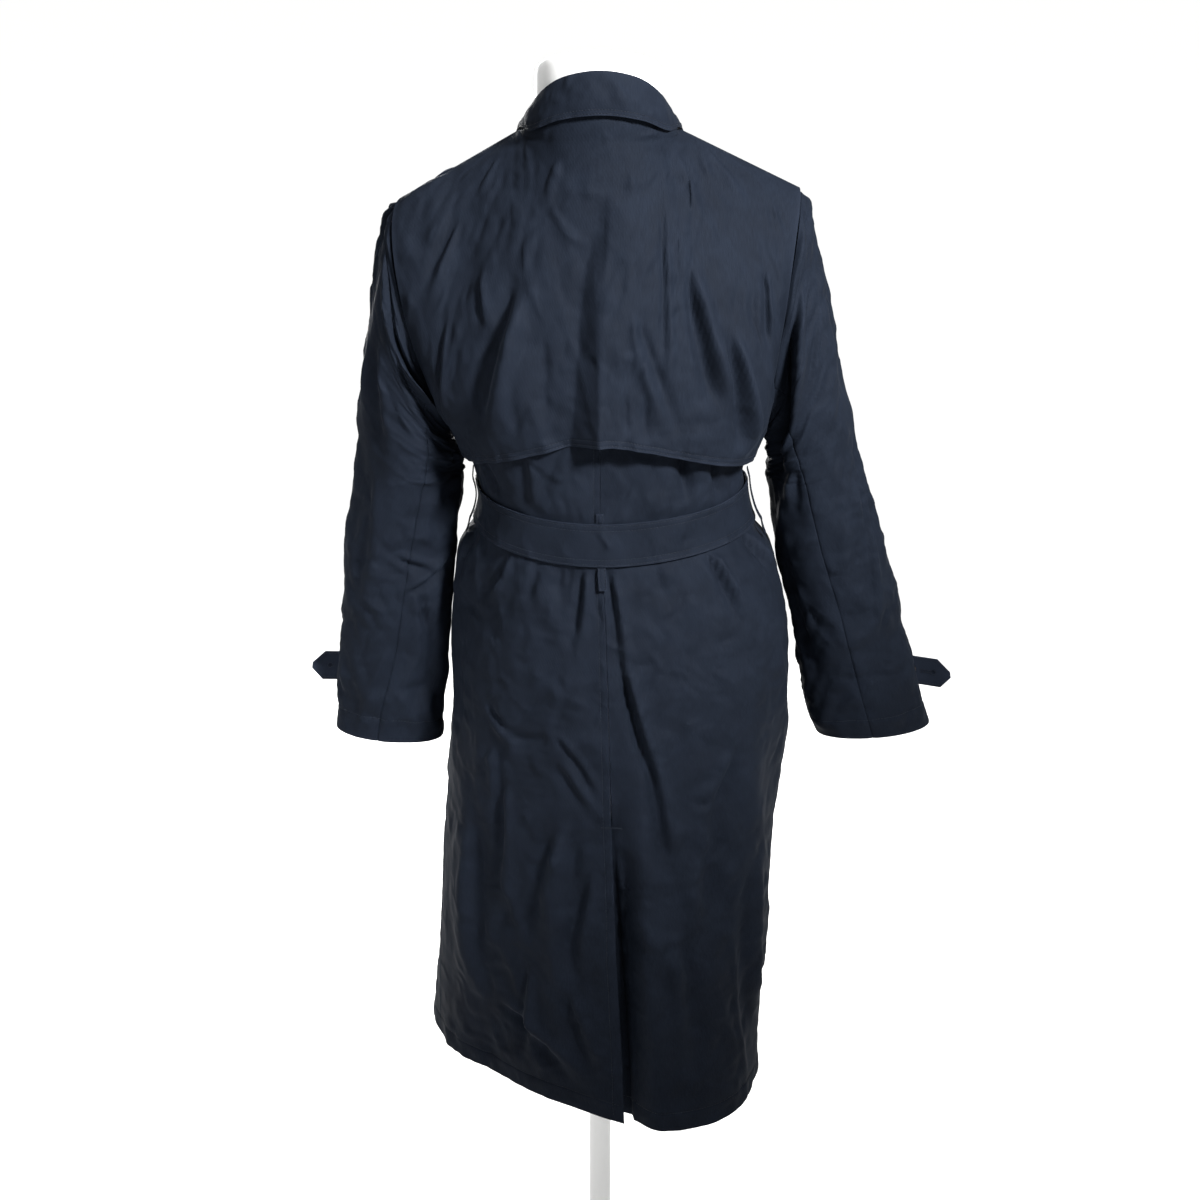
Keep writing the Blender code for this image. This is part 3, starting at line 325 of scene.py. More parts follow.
def ease(x):
    """Smooth step from 0 at x = 0 to 1 at x = 1."""
    x = np.clip(x, 0.0, 1.0)
    return x * x * (3 - 2 * x)


def stack(x, y, z):
    return np.stack(np.broadcast_arrays(x, y, z), axis=-1)


def unit(vectors):
    return vectors / np.maximum(np.linalg.norm(vectors, axis=-1, keepdims=True), 1e-12)


def cloth_ring(g, z):
    """A point of the body below the underarm: the section's eight radii, joined by a smooth round."""
    row = smooth_table(SECTION_Z, SECTION_COLUMNS, z)
    angle = np.radians(90 * g + row[..., 8] * np.clip(1 - abs(g - 1), 0, 1))
    radius = 0.0
    for k in range(8):
        away = angle - k * math.pi / 4
        share = 1 + 2 * np.cos(away) + 2 * np.cos(2 * away) + 2 * np.cos(3 * away)
        radius = radius + row[..., k] * (share + np.cos(4 * away)) / 8
    return stack(radius * np.cos(angle), radius * np.sin(angle), z)


def neckline(turn):
    """The neck seam at an angle in radians from the centre back."""
    across = np.sin(turn)
    back = NECK_POINT_Z + NECK_BACK_RISE * np.cos(turn) ** 2
    front = NECK_POINT_Z - NECK_FRONT_DROP * (1 - abs(across))
    z = np.where(np.cos(turn) > 0, back, front)
    return stack(NECK_WIDTH / 2 * across, NECK_Y + NECK_DEPTH * np.cos(turn), z)


def upper_cloth(back, g, u):
    """A point above the underarm: u is 0 at the underarm level, 1 at the shoulder seam and the neck."""
    facing = 1.0 if back else -1.0
    inward = np.minimum(g, 2 - g) if back else np.minimum(g - 2, 4 - g)
    side = np.where((g < 1) | (g > 3), 1.0, -1.0)
    low = cloth_ring(g, np.full_like(g, UNDERARM_Z))
    slope = (low - cloth_ring(g, np.full_like(g, UNDERARM_Z - 0.004))) / 0.004

    tip = np.where(side[..., None] > 0, np.array(LEFT_TIP), np.array(RIGHT_TIP))
    point = neckline(side * math.pi / 2)
    # Below the collar the corner between the shoulder seam and the neck seam is spread into a soft round.
    reach = CORNER_REACH * ease((1 - u) / 0.12)
    top = 0.0
    for offset, weight in zip(CORNER_OFFSETS, CORNER_WEIGHTS):
        across = inward + offset * reach
        turn = math.pi / 2 * np.clip((1 - across) / (1 - ARMHOLE_SHARE), -1, 1)
        neck = neckline(side * (turn if back else math.pi - turn))
        along = (across / ARMHOLE_SHARE)[..., None]
        top = top + weight * np.where(along < 1, tip + (point - tip) * along, neck)

    # How steeply the cloth leaves the underarm, and how it arrives at the shoulder seam and the neck.
    open_up = ease(inward / 0.45)[..., None]
    spread = np.where(side > 0, ARMHOLE_SPREAD[0], ARMHOLE_SPREAD[1])
    rise = slope * UPPER * open_up
    rise = rise + stack(side * spread, facing * 0.27, 0.09) * (1 - open_up)
    over = stack(0.0, facing * -0.16, 0.0)
    at_tip = stack(side * -spread, facing * -0.19, 0.0)
    at_neck = stack(side * -0.02, facing * -0.07, 0.20)
    arrive = at_tip + (over - at_tip) * ease(inward / 0.30)[..., None]
    arrive = arrive + (at_neck - arrive) * ease((inward - 0.50) / 0.5)[..., None]

    u = u[..., None]
    start = low * (1 + 2 * u) + rise * u
    end = top * (3 - 2 * u) - arrive * (1 - u)
    return start * (1 - u) ** 2 + end * u**2


def cloth_point(back, g, h):
    """The coat's plain outer surface."""
    g, h = np.broadcast_arrays(np.asarray(g, float), np.asarray(h, float))
    low = cloth_ring(g, np.minimum(h, UNDERARM_Z))
    high = upper_cloth(back, g, np.maximum(h - UNDERARM_Z, 0) / UPPER)
    return np.where((h > UNDERARM_Z)[..., None], high, low)


def cloth_normal(back, g, h):
    step = 0.002
    across = cloth_point(back, g + step, h) - cloth_point(back, g - step, h)
    up = cloth_point(back, g, h + step) - cloth_point(back, g, h - step)
    return unit(np.cross(across, up))


def moved_out(back, g, h, out):
    """The coat's surface moved out by a distance."""
    return cloth_point(back, g, h) + cloth_normal(back, g, h) * np.asarray(out)[..., None]


Crease = namedtuple("Crease", "x1 y1 x2 y2 x3 y3 width depth lean sharp", defaults=(0.0, 0.0))
CREASE_STEPS = 12  # straight pieces that follow a crease's bend


def crease_height(creases, x, y):
    """How far creases move the cloth out at x, y, in metres along the cloth.

    A crease runs from its first point to its last and widens as it goes. With lean 0 it is a ridge, or a
    trough where its depth is below zero. With lean 1 or -1 it is a step, high on the side of larger or of
    smaller x.
    """
    total = np.zeros(np.broadcast(x, y).shape)
    for crease in creases:
        steps = np.linspace(0, 1, CREASE_STEPS + 1)
        bend = 2 * steps * (1 - steps)
        line_x = crease.x1 * (1 - steps) ** 2 + crease.x2 * bend + crease.x3 * steps**2
        line_y = crease.y1 * (1 - steps) ** 2 + crease.y2 * bend + crease.y3 * steps**2
        nearest = np.full(total.shape, 1e9)
        share = np.zeros(total.shape)
        side = np.zeros(total.shape)
        for k in range(CREASE_STEPS):
            run_x, run_y = line_x[k + 1] - line_x[k], line_y[k + 1] - line_y[k]
            length = run_x**2 + run_y**2
            t = np.clip(((x - line_x[k]) * run_x + (y - line_y[k]) * run_y) / length, 0, 1)
            off_x, off_y = x - line_x[k] - t * run_x, y - line_y[k] - t * run_y
            distance = off_x**2 + off_y**2
            better = distance < nearest
            nearest = np.where(better, distance, nearest)
            share = np.where(better, (k + t) / CREASE_STEPS, share)
            side = np.where(better, np.sign(off_y * run_x - off_x * run_y), side)
        if crease.y3 < crease.y1:
            side = -side
        away = side * -np.sqrt(nearest) / (crease.width * (0.5 + 0.5 * share))
        peak = np.exp(-np.abs(away) ** (2 - 0.7 * crease.sharp))
        profile = peak * (1 - abs(crease.lean)) + 2.33 * away * np.exp(-away * away) * crease.lean
        fade = ease(share / 0.30) * ease((1 - share) / 0.40)
        total = total + crease.depth * fade * profile
    return total


def rumple(x, y, size, seed):
    """Soft uneven swelling of worn cloth, from -1 to 1, in patches of one size."""
    table = np.random.default_rng(seed).uniform(-1, 1, (64, 64))
    across, up = np.asarray(x) / size + 7.3, np.asarray(y) / size + 3.1
    i, j = np.floor(across).astype(int), np.floor(up).astype(int)
    fx, fy = ease(across - i), ease(up - j)
    low = table[i % 64, j % 64] * (1 - fx) + table[(i + 1) % 64, j % 64] * fx
    high = table[i % 64, (j + 1) % 64] * (1 - fx) + table[(i + 1) % 64, (j + 1) % 64] * fx
    return low * (1 - fy) + high * fy


def worn(x, y, seed):
    """The unevenness of worn cloth: broad soft swells, then crumples and fine creases across them."""
    swell = 0.0040 * rumple(x, y * 0.55, 0.055, seed)
    broad = 0.0044 * (0.5 - np.abs(rumple(x + 0.35 * y, 0.45 * y - 0.2 * x, 0.032, seed + 1)))
    crumple = 0.0030 * (np.abs(rumple(x - 0.5 * y, 0.6 * y + 0.3 * x, 0.019, seed + 3)) - 0.5)
    fine = 0.0011 * (0.5 - np.abs(rumple(x + 0.2 * y, y, 0.010, seed + 2)))
    patches = 0.50 + 0.50 * ease(0.5 + rumple(x, y, 0.07, seed + 4))
    return swell + (broad + crumple + fine) * patches


PUCKER_HEIGHT = 0.00042
PUCKER_REACH = 0.007


def pucker(along, away, seed):
    """Ripples that sewing draws into the cloth beside a seam."""
    ripple = rumple(along, 0 * along, 0.007, seed) + 0.6 * rumple(along, 0 * along, 0.016, seed + 5)
    return PUCKER_HEIGHT * ripple * np.exp(-np.abs(away) / PUCKER_REACH)


ROUND_DEPTH = 0.42 * CLOTH
ROUND_START = 0.0011  # how far from its edge a piece begins to curve in


def rolled(distance):
    """How far the face of a folded edge curves back into the wall near the edge."""
    near = 1 - np.clip(distance / ROUND_START, 0, 1)
    return -ROUND_DEPTH * (1 - np.sqrt(1 - 0.98 * near**2))


TUCK = 0.0024  # how far a piece goes on under its neighbour at a seam
TUCK_STEPS = np.array([0.0, 0.0010, 0.0017, 0.0021, 0.0025, 0.0029, 0.0036])


def tucked(distance):
    """How far a piece dips to go in under its neighbour. distance is to the seam, and below zero past it."""
    return -(CLOTH + 0.0004) * ease((0.0005 - distance) / 0.0011)


CHANNEL_DEPTH = 0.00038
CHANNEL_HALF = 0.0013


def stitched(distance):
    """The channel that a row of stitches pulls into the cloth."""
    return -CHANNEL_DEPTH * np.exp(-((distance / CHANNEL_HALF) ** 2))


def spread(points, pitch):
    """The points in order, with more between them where they are further than the pitch apart."""
    points = np.unique(np.round(points, 7))
    parts = [points[:1]]
    for low, high in zip(points, points[1:]):
        count = max(1, math.ceil((high - low) / pitch))
        parts.append(np.linspace(low, high, count + 1)[1:])
    return np.concatenate(parts)


EDGE_STEPS = np.array([0.0, 0.0003, 0.0007, 0.0012, 0.0022])
SEWN_STEPS = np.array([-0.0026, -0.0013, 0.0, 0.0013, 0.0026])


def edged(low, high, reach, pitch, *others):
    """Places from low to high, closer at both ends and at the others. reach is the metres in one unit."""
    ends = [low + EDGE_STEPS / reach, high - EDGE_STEPS / reach]
    return spread(np.concatenate(ends + list(others)), pitch)


def add_shell(name, face, normal, lifts, lip, flat, wear_and_painted_light, keep=None):
    """A wall of gabardine over a grid of points.

    lifts say how far its outer and inner sides stand off the grid, and lip how far both curve in at edges.
    flat is where each point lies on the flat cloth, in metres. keep says which cells of the grid are cloth.
    """
    outer = face + normal * (lifts[0] + lip)[..., None]
    inner = face + normal * (lifts[1] - lip)[..., None]
    rows, columns = outer.shape[:2]
    count = rows * columns
    corner = (np.arange(rows - 1)[:, None] * columns + np.arange(columns - 1)).reshape(-1)
    if keep is not None:
        corner = corner[keep.reshape(-1)]
    faces = np.stack([corner, corner + 1, corner + 1 + columns, corner + columns], axis=1)
    sides = np.concatenate([faces[:, [k, (k + 1) % 4]] for k in range(4)])
    codes = sides[:, 0] * count * 2 + sides[:, 1]
    rim = sides[~np.isin(codes, sides[:, 1] * count * 2 + sides[:, 0])]
    rim_faces = np.stack([rim[:, 1], rim[:, 0], rim[:, 0] + count, rim[:, 1] + count], axis=1)
    every = np.concatenate([faces, faces[:, ::-1] + count, rim_faces])
    points = np.concatenate([outer.reshape(-1, 3), inner.reshape(-1, 3)])
    place = np.stack(np.broadcast_arrays(*flat), axis=-1).reshape(-1, 2)
    place = np.concatenate([place, place])
    # How much paler the cloth is drawn at each point: rubbed edges, plus painted highlight or painted light
    # where the caller gives it.
    wear_and_light_here = np.tile(np.broadcast_to(wear_and_painted_light, (rows, columns)).reshape(-1), 2)
    used, every = np.unique(every, return_inverse=True)
    every = every.reshape(-1, 4)
    points, place, wear_and_light_here = points[used], place[used], wear_and_light_here[used]
    first, second, third, fourth = (points[every[:, k]] for k in range(4))
    volume = np.sum(first * np.cross(second, third)) + np.sum(first * np.cross(third, fourth))
    if volume < 0:
        every = every[:, ::-1]
    mesh = bpy.data.meshes.new(name)
    mesh.from_pydata(points.tolist(), [], every.tolist())
    corners = place[every.reshape(-1)].astype(np.float32).ravel()
    mesh.uv_layers.new(name="flat cloth").data.foreach_set("uv", corners)
    mesh.attributes.new("wear_and_painted_light", "FLOAT", "POINT").data.foreach_set("value", wear_and_light_here.astype(np.float32))
    return sewn_object(name, mesh, gabardine)


def sewn_object(name, mesh, finish):
    """The object of a mesh of cloth or thread, which rides on the part's one body."""
    mesh.shade_smooth()
    mesh.materials.append(finish)
    made = bpy.data.objects.new(name, mesh)
    bpy.context.scene.collection.objects.link(made)
    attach(made, "root")
    return made


STITCH_PITCH = 0.0033
STITCH_LENGTH = 0.0027
STITCH_HALF = (0.00030, 0.00022)  # half width and half height of the thread where it lies on the cloth


def along_line(at, reached, points):
    """Points at distances along a line whose own points are reached at known distances."""
    return np.stack([np.interp(at, reached, points[:, k]) for k in range(3)], 1)


def add_stitches(name, lines):
    """Rows of single stitches. Each line is its points and the cloth's normals along it."""
    centres, runs, normals = [], [], []
    for points, outward in lines:
        steps = np.linalg.norm(np.diff(points, axis=0), axis=1)
        reached = np.concatenate([[0], np.cumsum(steps)])
        at = np.arange(STITCH_PITCH / 2, reached[-1], STITCH_PITCH)
        start = along_line(at - STITCH_LENGTH / 2, reached, points)
        end = along_line(at + STITCH_LENGTH / 2, reached, points)
        centres.append((start + end) / 2)
        runs.append((end - start) / 2)
        normals.append(unit(along_line(at, reached, outward)))
    centres, runs, normals = np.concatenate(centres), np.concatenate(runs), np.concatenate(normals)
    across = unit(np.cross(runs, normals))
    rings = []
    # Each stitch is thinner at its ends, where it dips into the cloth.
    sizes = ((-1.0, 0.45, -0.00016), (-0.55, 1.0, 0.0), (0.55, 1.0, 0.0), (1.0, 0.45, -0.00016))
    for along, size, dip in sizes:
        for sine, cosine in ((0, 1), (1, 0), (0, -1), (-1, 0)):
            side = across * (STITCH_HALF[0] * cosine * size)
            up = normals * (STITCH_HALF[1] * sine * size + dip)
            rings.append(centres + runs * along + side + up)
    points = np.stack(rings, axis=1).reshape(-1, 3)
    faces = [(3, 2, 1, 0), (12, 13, 14, 15)]
    for ring in range(3):
        for k in range(4):
            a, b = ring * 4 + k, ring * 4 + (k + 1) % 4
            faces.append((a, b, b + 4, a + 4))
    every = (np.arange(len(centres))[:, None, None] * 16 + np.array(faces)).reshape(-1, 4)
    mesh = bpy.data.meshes.new(name)
    mesh.from_pydata(points.tolist(), [], every.tolist())
    return sewn_object(name, mesh, thread)


# Navy cotton gabardine, woven as a steep twill and pressed: matt, with a faint sheen along the ribs. It shows
# a soft mottling from washing, and is rubbed a little paler along folded edges. Its ridges and raised folds
# are painted paler as painted highlight, and the cuff tabs are painted paler all over as painted light.
gabardine, gabardine_shader = new_finish("navy cotton gabardine", "#101318", 0.78)
gabardine_shader.inputs["Specular IOR Level"].default_value = 0.04
gabardine_shader.inputs["Sheen Weight"].default_value = 0.02
gabardine_shader.inputs["Sheen Roughness"].default_value = 0.45
gabardine_shader.inputs["Sheen Tint"].default_value = linear("#9fb0cc")
cloth_place = add_node(gabardine, "ShaderNodeTexCoord", {}, {}).outputs["UV"]
# Twill ribs run up to the right at 63 degrees. The real ones are 0.5 mm apart; here they are drawn 2.6 mm
# apart.
RIB_PITCH = 0.0026
RIB_TURN = (0, 0, math.radians(-27))
rib_turn = add_node(gabardine, "ShaderNodeMapping", {"Rotation": RIB_TURN}, {"Vector": cloth_place})
ribs = add_node(
    gabardine,
    "ShaderNodeTexWave",
    {"Scale": 2 * math.pi / 20 / RIB_PITCH, "Distortion": 0.6, "Detail": 1.0, "Detail Scale": 0.4},
    {"Vector": rib_turn.outputs["Vector"]},
).outputs["Fac"]
# Slubs: single thicker yarns, stretched along the warp.
slub_stretch = add_node(gabardine, "ShaderNodeMapping", {"Scale": (1.0, 0.12, 1.0)}, {"Vector": cloth_place})
slub_place = slub_stretch.outputs["Vector"]
slub_noise = {"Scale": 900.0, "Detail": 2.0}
slubs = add_node(gabardine, "ShaderNodeTexNoise", slub_noise, {"Vector": slub_place}).outputs["Fac"]
wash_noise = {"Scale": 26.0, "Detail": 5.0, "Roughness": 0.62}
washed = add_node(gabardine, "ShaderNodeTexNoise", wash_noise, {"Vector": cloth_place}).outputs["Fac"]
rib_share = add_node(gabardine, "ShaderNodeMath", {"operation": "MULTIPLY", 1: 0.12}, {0: ribs})
ribbed = add_node(
    gabardine,
    "ShaderNodeMix",
    {"data_type": "RGBA", "blend_type": "MULTIPLY", 7: (0.55, 0.57, 0.62, 1)},
    {0: rib_share.outputs[0], 6: tone_between(gabardine, "#0c1017", "#1a202a", washed)},
)
# Thicker yarns take the dye a little darker.
grained = add_node(
    gabardine,
    "ShaderNodeMix",
    {"data_type": "RGBA", "blend_type": "MULTIPLY", 7: (0.35, 0.37, 0.42, 1)},
    {0: slubs, 6: ribbed.outputs[2]},
)
# Paler where the mesh's attribute says: rubbing at folded edges, which the cloth really has, plus painted
# highlight on ridges and raised folds, and painted light over the cuff tabs.
wear_and_light_attribute = add_node(gabardine, "ShaderNodeAttribute", {"attribute_name": "wear_and_painted_light"}, {})
rubbed_and_lit = add_node(
    gabardine,
    "ShaderNodeMix",
    {"data_type": "RGBA", 7: linear("#1b202a")},
    {0: wear_and_light_attribute.outputs["Fac"], 6: grained.outputs[2]},
)
feed(gabardine_shader, "Base Color", rubbed_and_lit.outputs[2])
feed(gabardine_shader, "Roughness", gloss_between(gabardine, 0.66, 0.86, washed))
rib_relief = relief_from(gabardine, 0.14, 0.00035, ribs)
# Fine creases a few millimetres apart, too small for the panels' own points.
crease_turn = add_node(
    gabardine,
    "ShaderNodeMapping",
    {"Location": (0.041, 0.023, 0.011), "Rotation": (0, 0, math.radians(38))},
    {"Vector": cloth_place},
)
creased = add_node(
    gabardine,
    "ShaderNodeTexNoise",
    {"noise_type": "RIDGED_MULTIFRACTAL", "Scale": 34.0, "Detail": 4.0, "Roughness": 0.55, "Distortion": 0.5},
    {"Vector": crease_turn.outputs["Vector"]},
)
crease_relief = relief_from(gabardine, 1.0, 0.0050, creased.outputs["Fac"], rib_relief)
feed(gabardine_shader, "Normal", relief_from(gabardine, 0.25, 0.0004, slubs, crease_relief))

# Core-spun polyester thread in the cloth's own navy, a shade lighter where it catches the light.
thread, thread_shader = new_finish("navy polyester thread", "#151a22", 0.55)
thread_shader.inputs["Specular IOR Level"].default_value = 0.15
thread_twist = object_noise(thread, 700.0, 1.0)
feed(thread_shader, "Base Color", tone_between(thread, "#0d1118", "#171c25", thread_twist))

# ---- Back ----
# Two halves of gabardine sewn down the centre back, with a 7 mm topstitch on the left half. Below the bar
# tack the seam opens into a vent, the left half over the right one, and the hem is turned up 20 mm and
# stitched.
SEAM = 0.0001  # gap between two pieces at a seam
ARMHOLE_GAP = 0.0008
HALF_SEAM = SEAM / 2 / REACH
HEM_Z = 0.420
HEM_DROOP = 0.011
HEM_TURNING = 0.020
VENT_Z = 0.744
BELT_WIDTH = 0.045
BELT_ROWS = 10  # rows of points that the belt covers
BELT_BACK_Z = 1.043
BELT_SIDE_Z = 1.060
FLAP_BACK_Z = 1.151
FLAP_SIDE_Z = 1.118
BACK_TOPSTITCH = 0.0075
UNDERLAP = 0.048  # how far the right half goes in under the left one beside the vent
TOP_H = UNDERARM_Z + UPPER * 0.9985  # the panels' upper edges, just short of the neck seam
BACK_RUB = 0.12  # the backs' edges lie flat, and are rubbed less than the others


def in_metres(creases, wide=REACH, tall=1.0):
    """Creases with their places turned into metres along the cloth."""
    made = []
    for row in creases:
        x1, y1, x2, y2, x3, y3 = row[:6]
        made.append(Crease(x1 * wide, y1 * tall, x2 * wide, y2 * tall, x3 * wide, y3 * tall, *row[6:]))
    return made


BODY_FOLDS = in_metres([  # g and h of three points, width, depth; then lean and sharpness where they aren't 0
    # from the belt down to the vent
    (1.040, 1.030, 1.060, 0.970, 1.080, 0.900, 0.0075, 0.0050, 1.0),
    (1.060, 0.940, 1.130, 0.850, 1.200, 0.790, 0.0075, 0.0085, 1.0),
    (1.170, 0.830, 1.220, 0.770, 1.230, 0.680, 0.0100, 0.0070, 1.0),
    (1.126, 0.830, 1.134, 0.621, 1.095, 0.300, 0.0240, 0.0112),
    (1.069, 0.740, 1.052, 0.599, 1.035, 0.340, 0.0160, -0.0128),
    (0.830, 0.760, 0.799, 0.660, 0.783, 0.480, 0.0160, 0.0048, -1.0),
    (0.765, 0.842, 0.875, 0.830, 0.972, 0.758, 0.0055, 0.0033, 1.0),
    (0.769, 0.815, 0.858, 0.790, 0.967, 0.740, 0.0090, 0.0030, 1.0),
    (0.467, 0.826, 0.635, 0.834, 0.807, 0.836, 0.0045, -0.0025, 0.0, 0.5),
    (0.544, 0.842, 0.660, 0.867, 0.775, 0.892, 0.0045, -0.0025, 0.0, 0.5),
    (0.473, 0.830, 0.511, 0.735, 0.451, 0.640, 0.0110, 0.0042, -1.0),
    (0.426, 0.520, 0.678, 0.500, 0.908, 0.440, 0.0130, 0.0051, 1.0),
    (0.614, 0.575, 0.611, 0.517, 0.604, 0.440, 0.0110, 0.0045, 1.0),
    (1.082, 0.640, 1.176, 0.599, 1.272, 0.530, 0.0140, 0.0039, 1.0),
    (1.444, 0.640, 1.475, 0.525, 1.490, 0.380, 0.0065, 0.0033, 0.4, 0.5),
    (1.324, 0.776, 1.412, 0.740, 1.512, 0.810, 0.0080, -0.0033),
    (1.629, 0.860, 1.591, 0.700, 1.557, 0.500, 0.0300, 0.0067),
    (0.292, 0.800, 0.255, 0.620, 0.300, 0.400, 0.0320, 0.0067),
    (0.420, 0.865, 0.500, 0.830, 0.605, 0.829, 0.0080, 0.0034, -1.0),
    (0.500, 0.790, 0.520, 0.713, 0.480, 0.620, 0.0150, 0.0060, 1.0),
    (0.780, 0.740, 0.700, 0.680, 0.665, 0.600, 0.0140, 0.0060, 1.0),
    (0.917, 0.700, 0.880, 0.630, 0.792, 0.560, 0.0120, 0.0050, 1.0),
    (0.350, 0.730, 0.300, 0.620, 0.375, 0.500, 0.0170, 0.0060, -1.0),
    (0.800, 0.560, 0.860, 0.520, 0.930, 0.450, 0.0110, 0.0045, 1.0),
    (1.430, 0.760, 1.350, 0.690, 1.330, 0.600, 0.0160, 0.0055, -1.0),
    (1.250, 0.640, 1.230, 0.560, 1.250, 0.450, 0.0120, 0.0055, -1.0),
    (1.600, 0.700, 1.560, 0.600, 1.600, 0.460, 0.0180, 0.0060, 1.0),
    (1.525, 0.830, 1.450, 0.770, 1.360, 0.730, 0.0100, 0.0040, -1.0),
    # folds that the belt presses in, below it
    (0.918, 1.028, 0.904, 0.981, 0.854, 0.925, 0.0085, 0.0054, 1.0),
    (1.487, 1.036, 1.564, 1.002, 1.590, 0.950, 0.0075, 0.0084, 1.0),
    (1.749, 1.046, 1.813, 1.019, 1.847, 0.985, 0.0075, 0.0084, 1.0),
    (0.526, 1.030, 0.512, 1.000, 0.362, 0.970, 0.0085, 0.0051, 1.0),
    (0.136, 0.950, 0.342, 0.970, 0.427, 0.925, 0.0110, -0.0039),
    (0.685, 1.028, 0.671, 1.005, 0.626, 0.975, 0.0065, -0.0033),
    (0.804, 1.028, 0.797, 1.010, 0.774, 0.985, 0.0055, -0.0030),
    (0.844, 1.028, 0.843, 1.012, 0.831, 0.992, 0.0045, -0.0027),
    (1.255, 1.030, 1.264, 1.010, 1.276, 0.985, 0.0060, -0.0027),
    (0.199, 1.034, 0.187, 1.000, 0.117, 0.965, 0.0085, -0.0054),
    # above the belt, under the storm flap
    (1.372, 1.175, 1.402, 1.125, 1.445, 1.065, 0.0085, -0.0120),
    (1.500, 1.170, 1.560, 1.115, 1.630, 1.068, 0.0075, -0.0120),
    (0.330, 1.125, 0.400, 1.095, 0.430, 1.070, 0.0120, 0.0042, -1.0),
    (0.640, 1.150, 0.655, 1.105, 0.645, 1.070, 0.0120, 0.0033, 1.0),
    (0.090, 1.110, 0.130, 1.090, 0.200, 1.072, 0.0060, -0.0042),
    # the fronts
    (2.340, 1.030, 2.330, 0.940, 2.290, 0.800, 0.0120, 0.0063, 1.0),
    (2.580, 1.028, 2.610, 0.960, 2.600, 0.860, 0.0085, -0.0057),
    (2.760, 1.028, 2.730, 0.985, 2.740, 0.930, 0.0070, -0.0039),
    (3.180, 1.028, 3.210, 0.960, 3.180, 0.850, 0.0090, 0.0045, -1.0),
    (3.560, 1.028, 3.600, 0.930, 3.640, 0.800, 0.0120, 0.0063, -1.0),
    (3.800, 1.030, 3.850, 0.970, 3.870, 0.880, 0.0090, -0.0060),
    (2.150, 1.036, 2.180, 0.990, 2.160, 0.930, 0.0080, -0.0051),
    (2.240, 0.860, 2.300, 0.660, 2.260, 0.380, 0.0300, 0.0075),
    (2.720, 0.820, 2.680, 0.640, 2.700, 0.380, 0.0260, -0.0063),
    (3.620, 0.780, 3.660, 0.600, 3.620, 0.380, 0.0280, 0.0069),
    (3.880, 0.760, 3.850, 0.620, 3.880, 0.400, 0.0220, -0.0060),
    (2.420, 1.230, 2.400, 1.150, 2.460, 1.068, 0.0110, 0.0054, 1.0),
    (2.700, 1.180, 2.640, 1.120, 2.600, 1.068, 0.0090, -0.0045),
    (3.660, 1.230, 3.640, 1.150, 3.580, 1.068, 0.0110, 0.0054, -1.0),
    (3.360, 1.170, 3.420, 1.115, 3.440, 1.068, 0.0090, -0.0045),
    (2.160, 1.290, 2.250, 1.230, 2.330, 1.180, 0.0100, -0.0051),
    (3.840, 1.290, 3.760, 1.230, 3.690, 1.180, 0.0100, -0.0051),
])


def hem_height(g):
    """The hem hangs lowest right of the vent."""
    return HEM_Z - HEM_DROOP * np.exp(-(((g - 1.30) / 0.30) ** 2))


def belt_low(g):
    """Height of the belt's lower edge: it dips at the centre back."""
    dip = (BELT_SIDE_Z - BELT_BACK_Z) * ease(1 - abs(g - 1))
    return BELT_SIDE_Z - dip - BELT_WIDTH / 2


def flap_hem(g):
    """The storm flap's hem rises to the centre back."""
    return FLAP_SIDE_Z + (FLAP_BACK_Z - FLAP_SIDE_Z) * ease(1 - abs(g - 1) * 1.25)


def body_out(g, h):
    """How far the body's cloth stands off the plain surface. It lies flat under the belt and the flap."""
    low = belt_low(g)
    off_belt = np.maximum(low - h, h - low - BELT_WIDTH)
    free = 0.06 + 0.94 * ease((off_belt + 0.002) / 0.014)
    under_flap = np.where(g < 2, ease((h - flap_hem(g) - 0.010) / 0.04), 0.0)
    free = free * (1 - under_flap)
    drape = crease_height(BODY_FOLDS, g * REACH, h) + worn(g * REACH, h, 11)
    drape = drape * ease(np.minimum(g, 4 - g) * REACH / 0.03)
    hem_step = 0.00035 * ease((hem_height(g) + HEM_TURNING - h) / 0.002)
    hem_channel = stitched(h - hem_height(g) - HEM_TURNING)
    return drape * free + hem_step + hem_channel


def panel_levels(g, pitch=PITCH):
    """Heights of a panel's rows at g, from the hem up. The rows follow the hem, the belt and the underarm."""
    hem = hem_height(g)
    low = belt_low(g)
    high = low + BELT_WIDTH
    edge_rows = spread(np.concatenate([EDGE_STEPS, HEM_TURNING + SEWN_STEPS]), pitch)
    levels = [hem + step for step in edge_rows]
    for start, end, count in (
        (hem + edge_rows[-1], VENT_Z, math.ceil((VENT_Z - HEM_Z) / pitch)),
        (VENT_Z, low, math.ceil((BELT_BACK_Z - VENT_Z) / pitch)),
        (low, high, BELT_ROWS),
        (high, UNDERARM_Z, math.ceil((UNDERARM_Z - BELT_SIDE_Z) / pitch)),
    ):
        levels += [start + (end - start) * k / count for k in range(1, count + 1)]
    shares = spread(np.concatenate([[0.0], (TOP_H - UNDERARM_Z - EDGE_STEPS) / UPPER]), pitch / UPPER)
    levels += [UNDERARM_Z + UPPER * share + 0 * g for share in shares[1:]]
    return np.array(levels)


RUB_REACH = 0.0022  # how far from an edge the cloth is rubbed paler


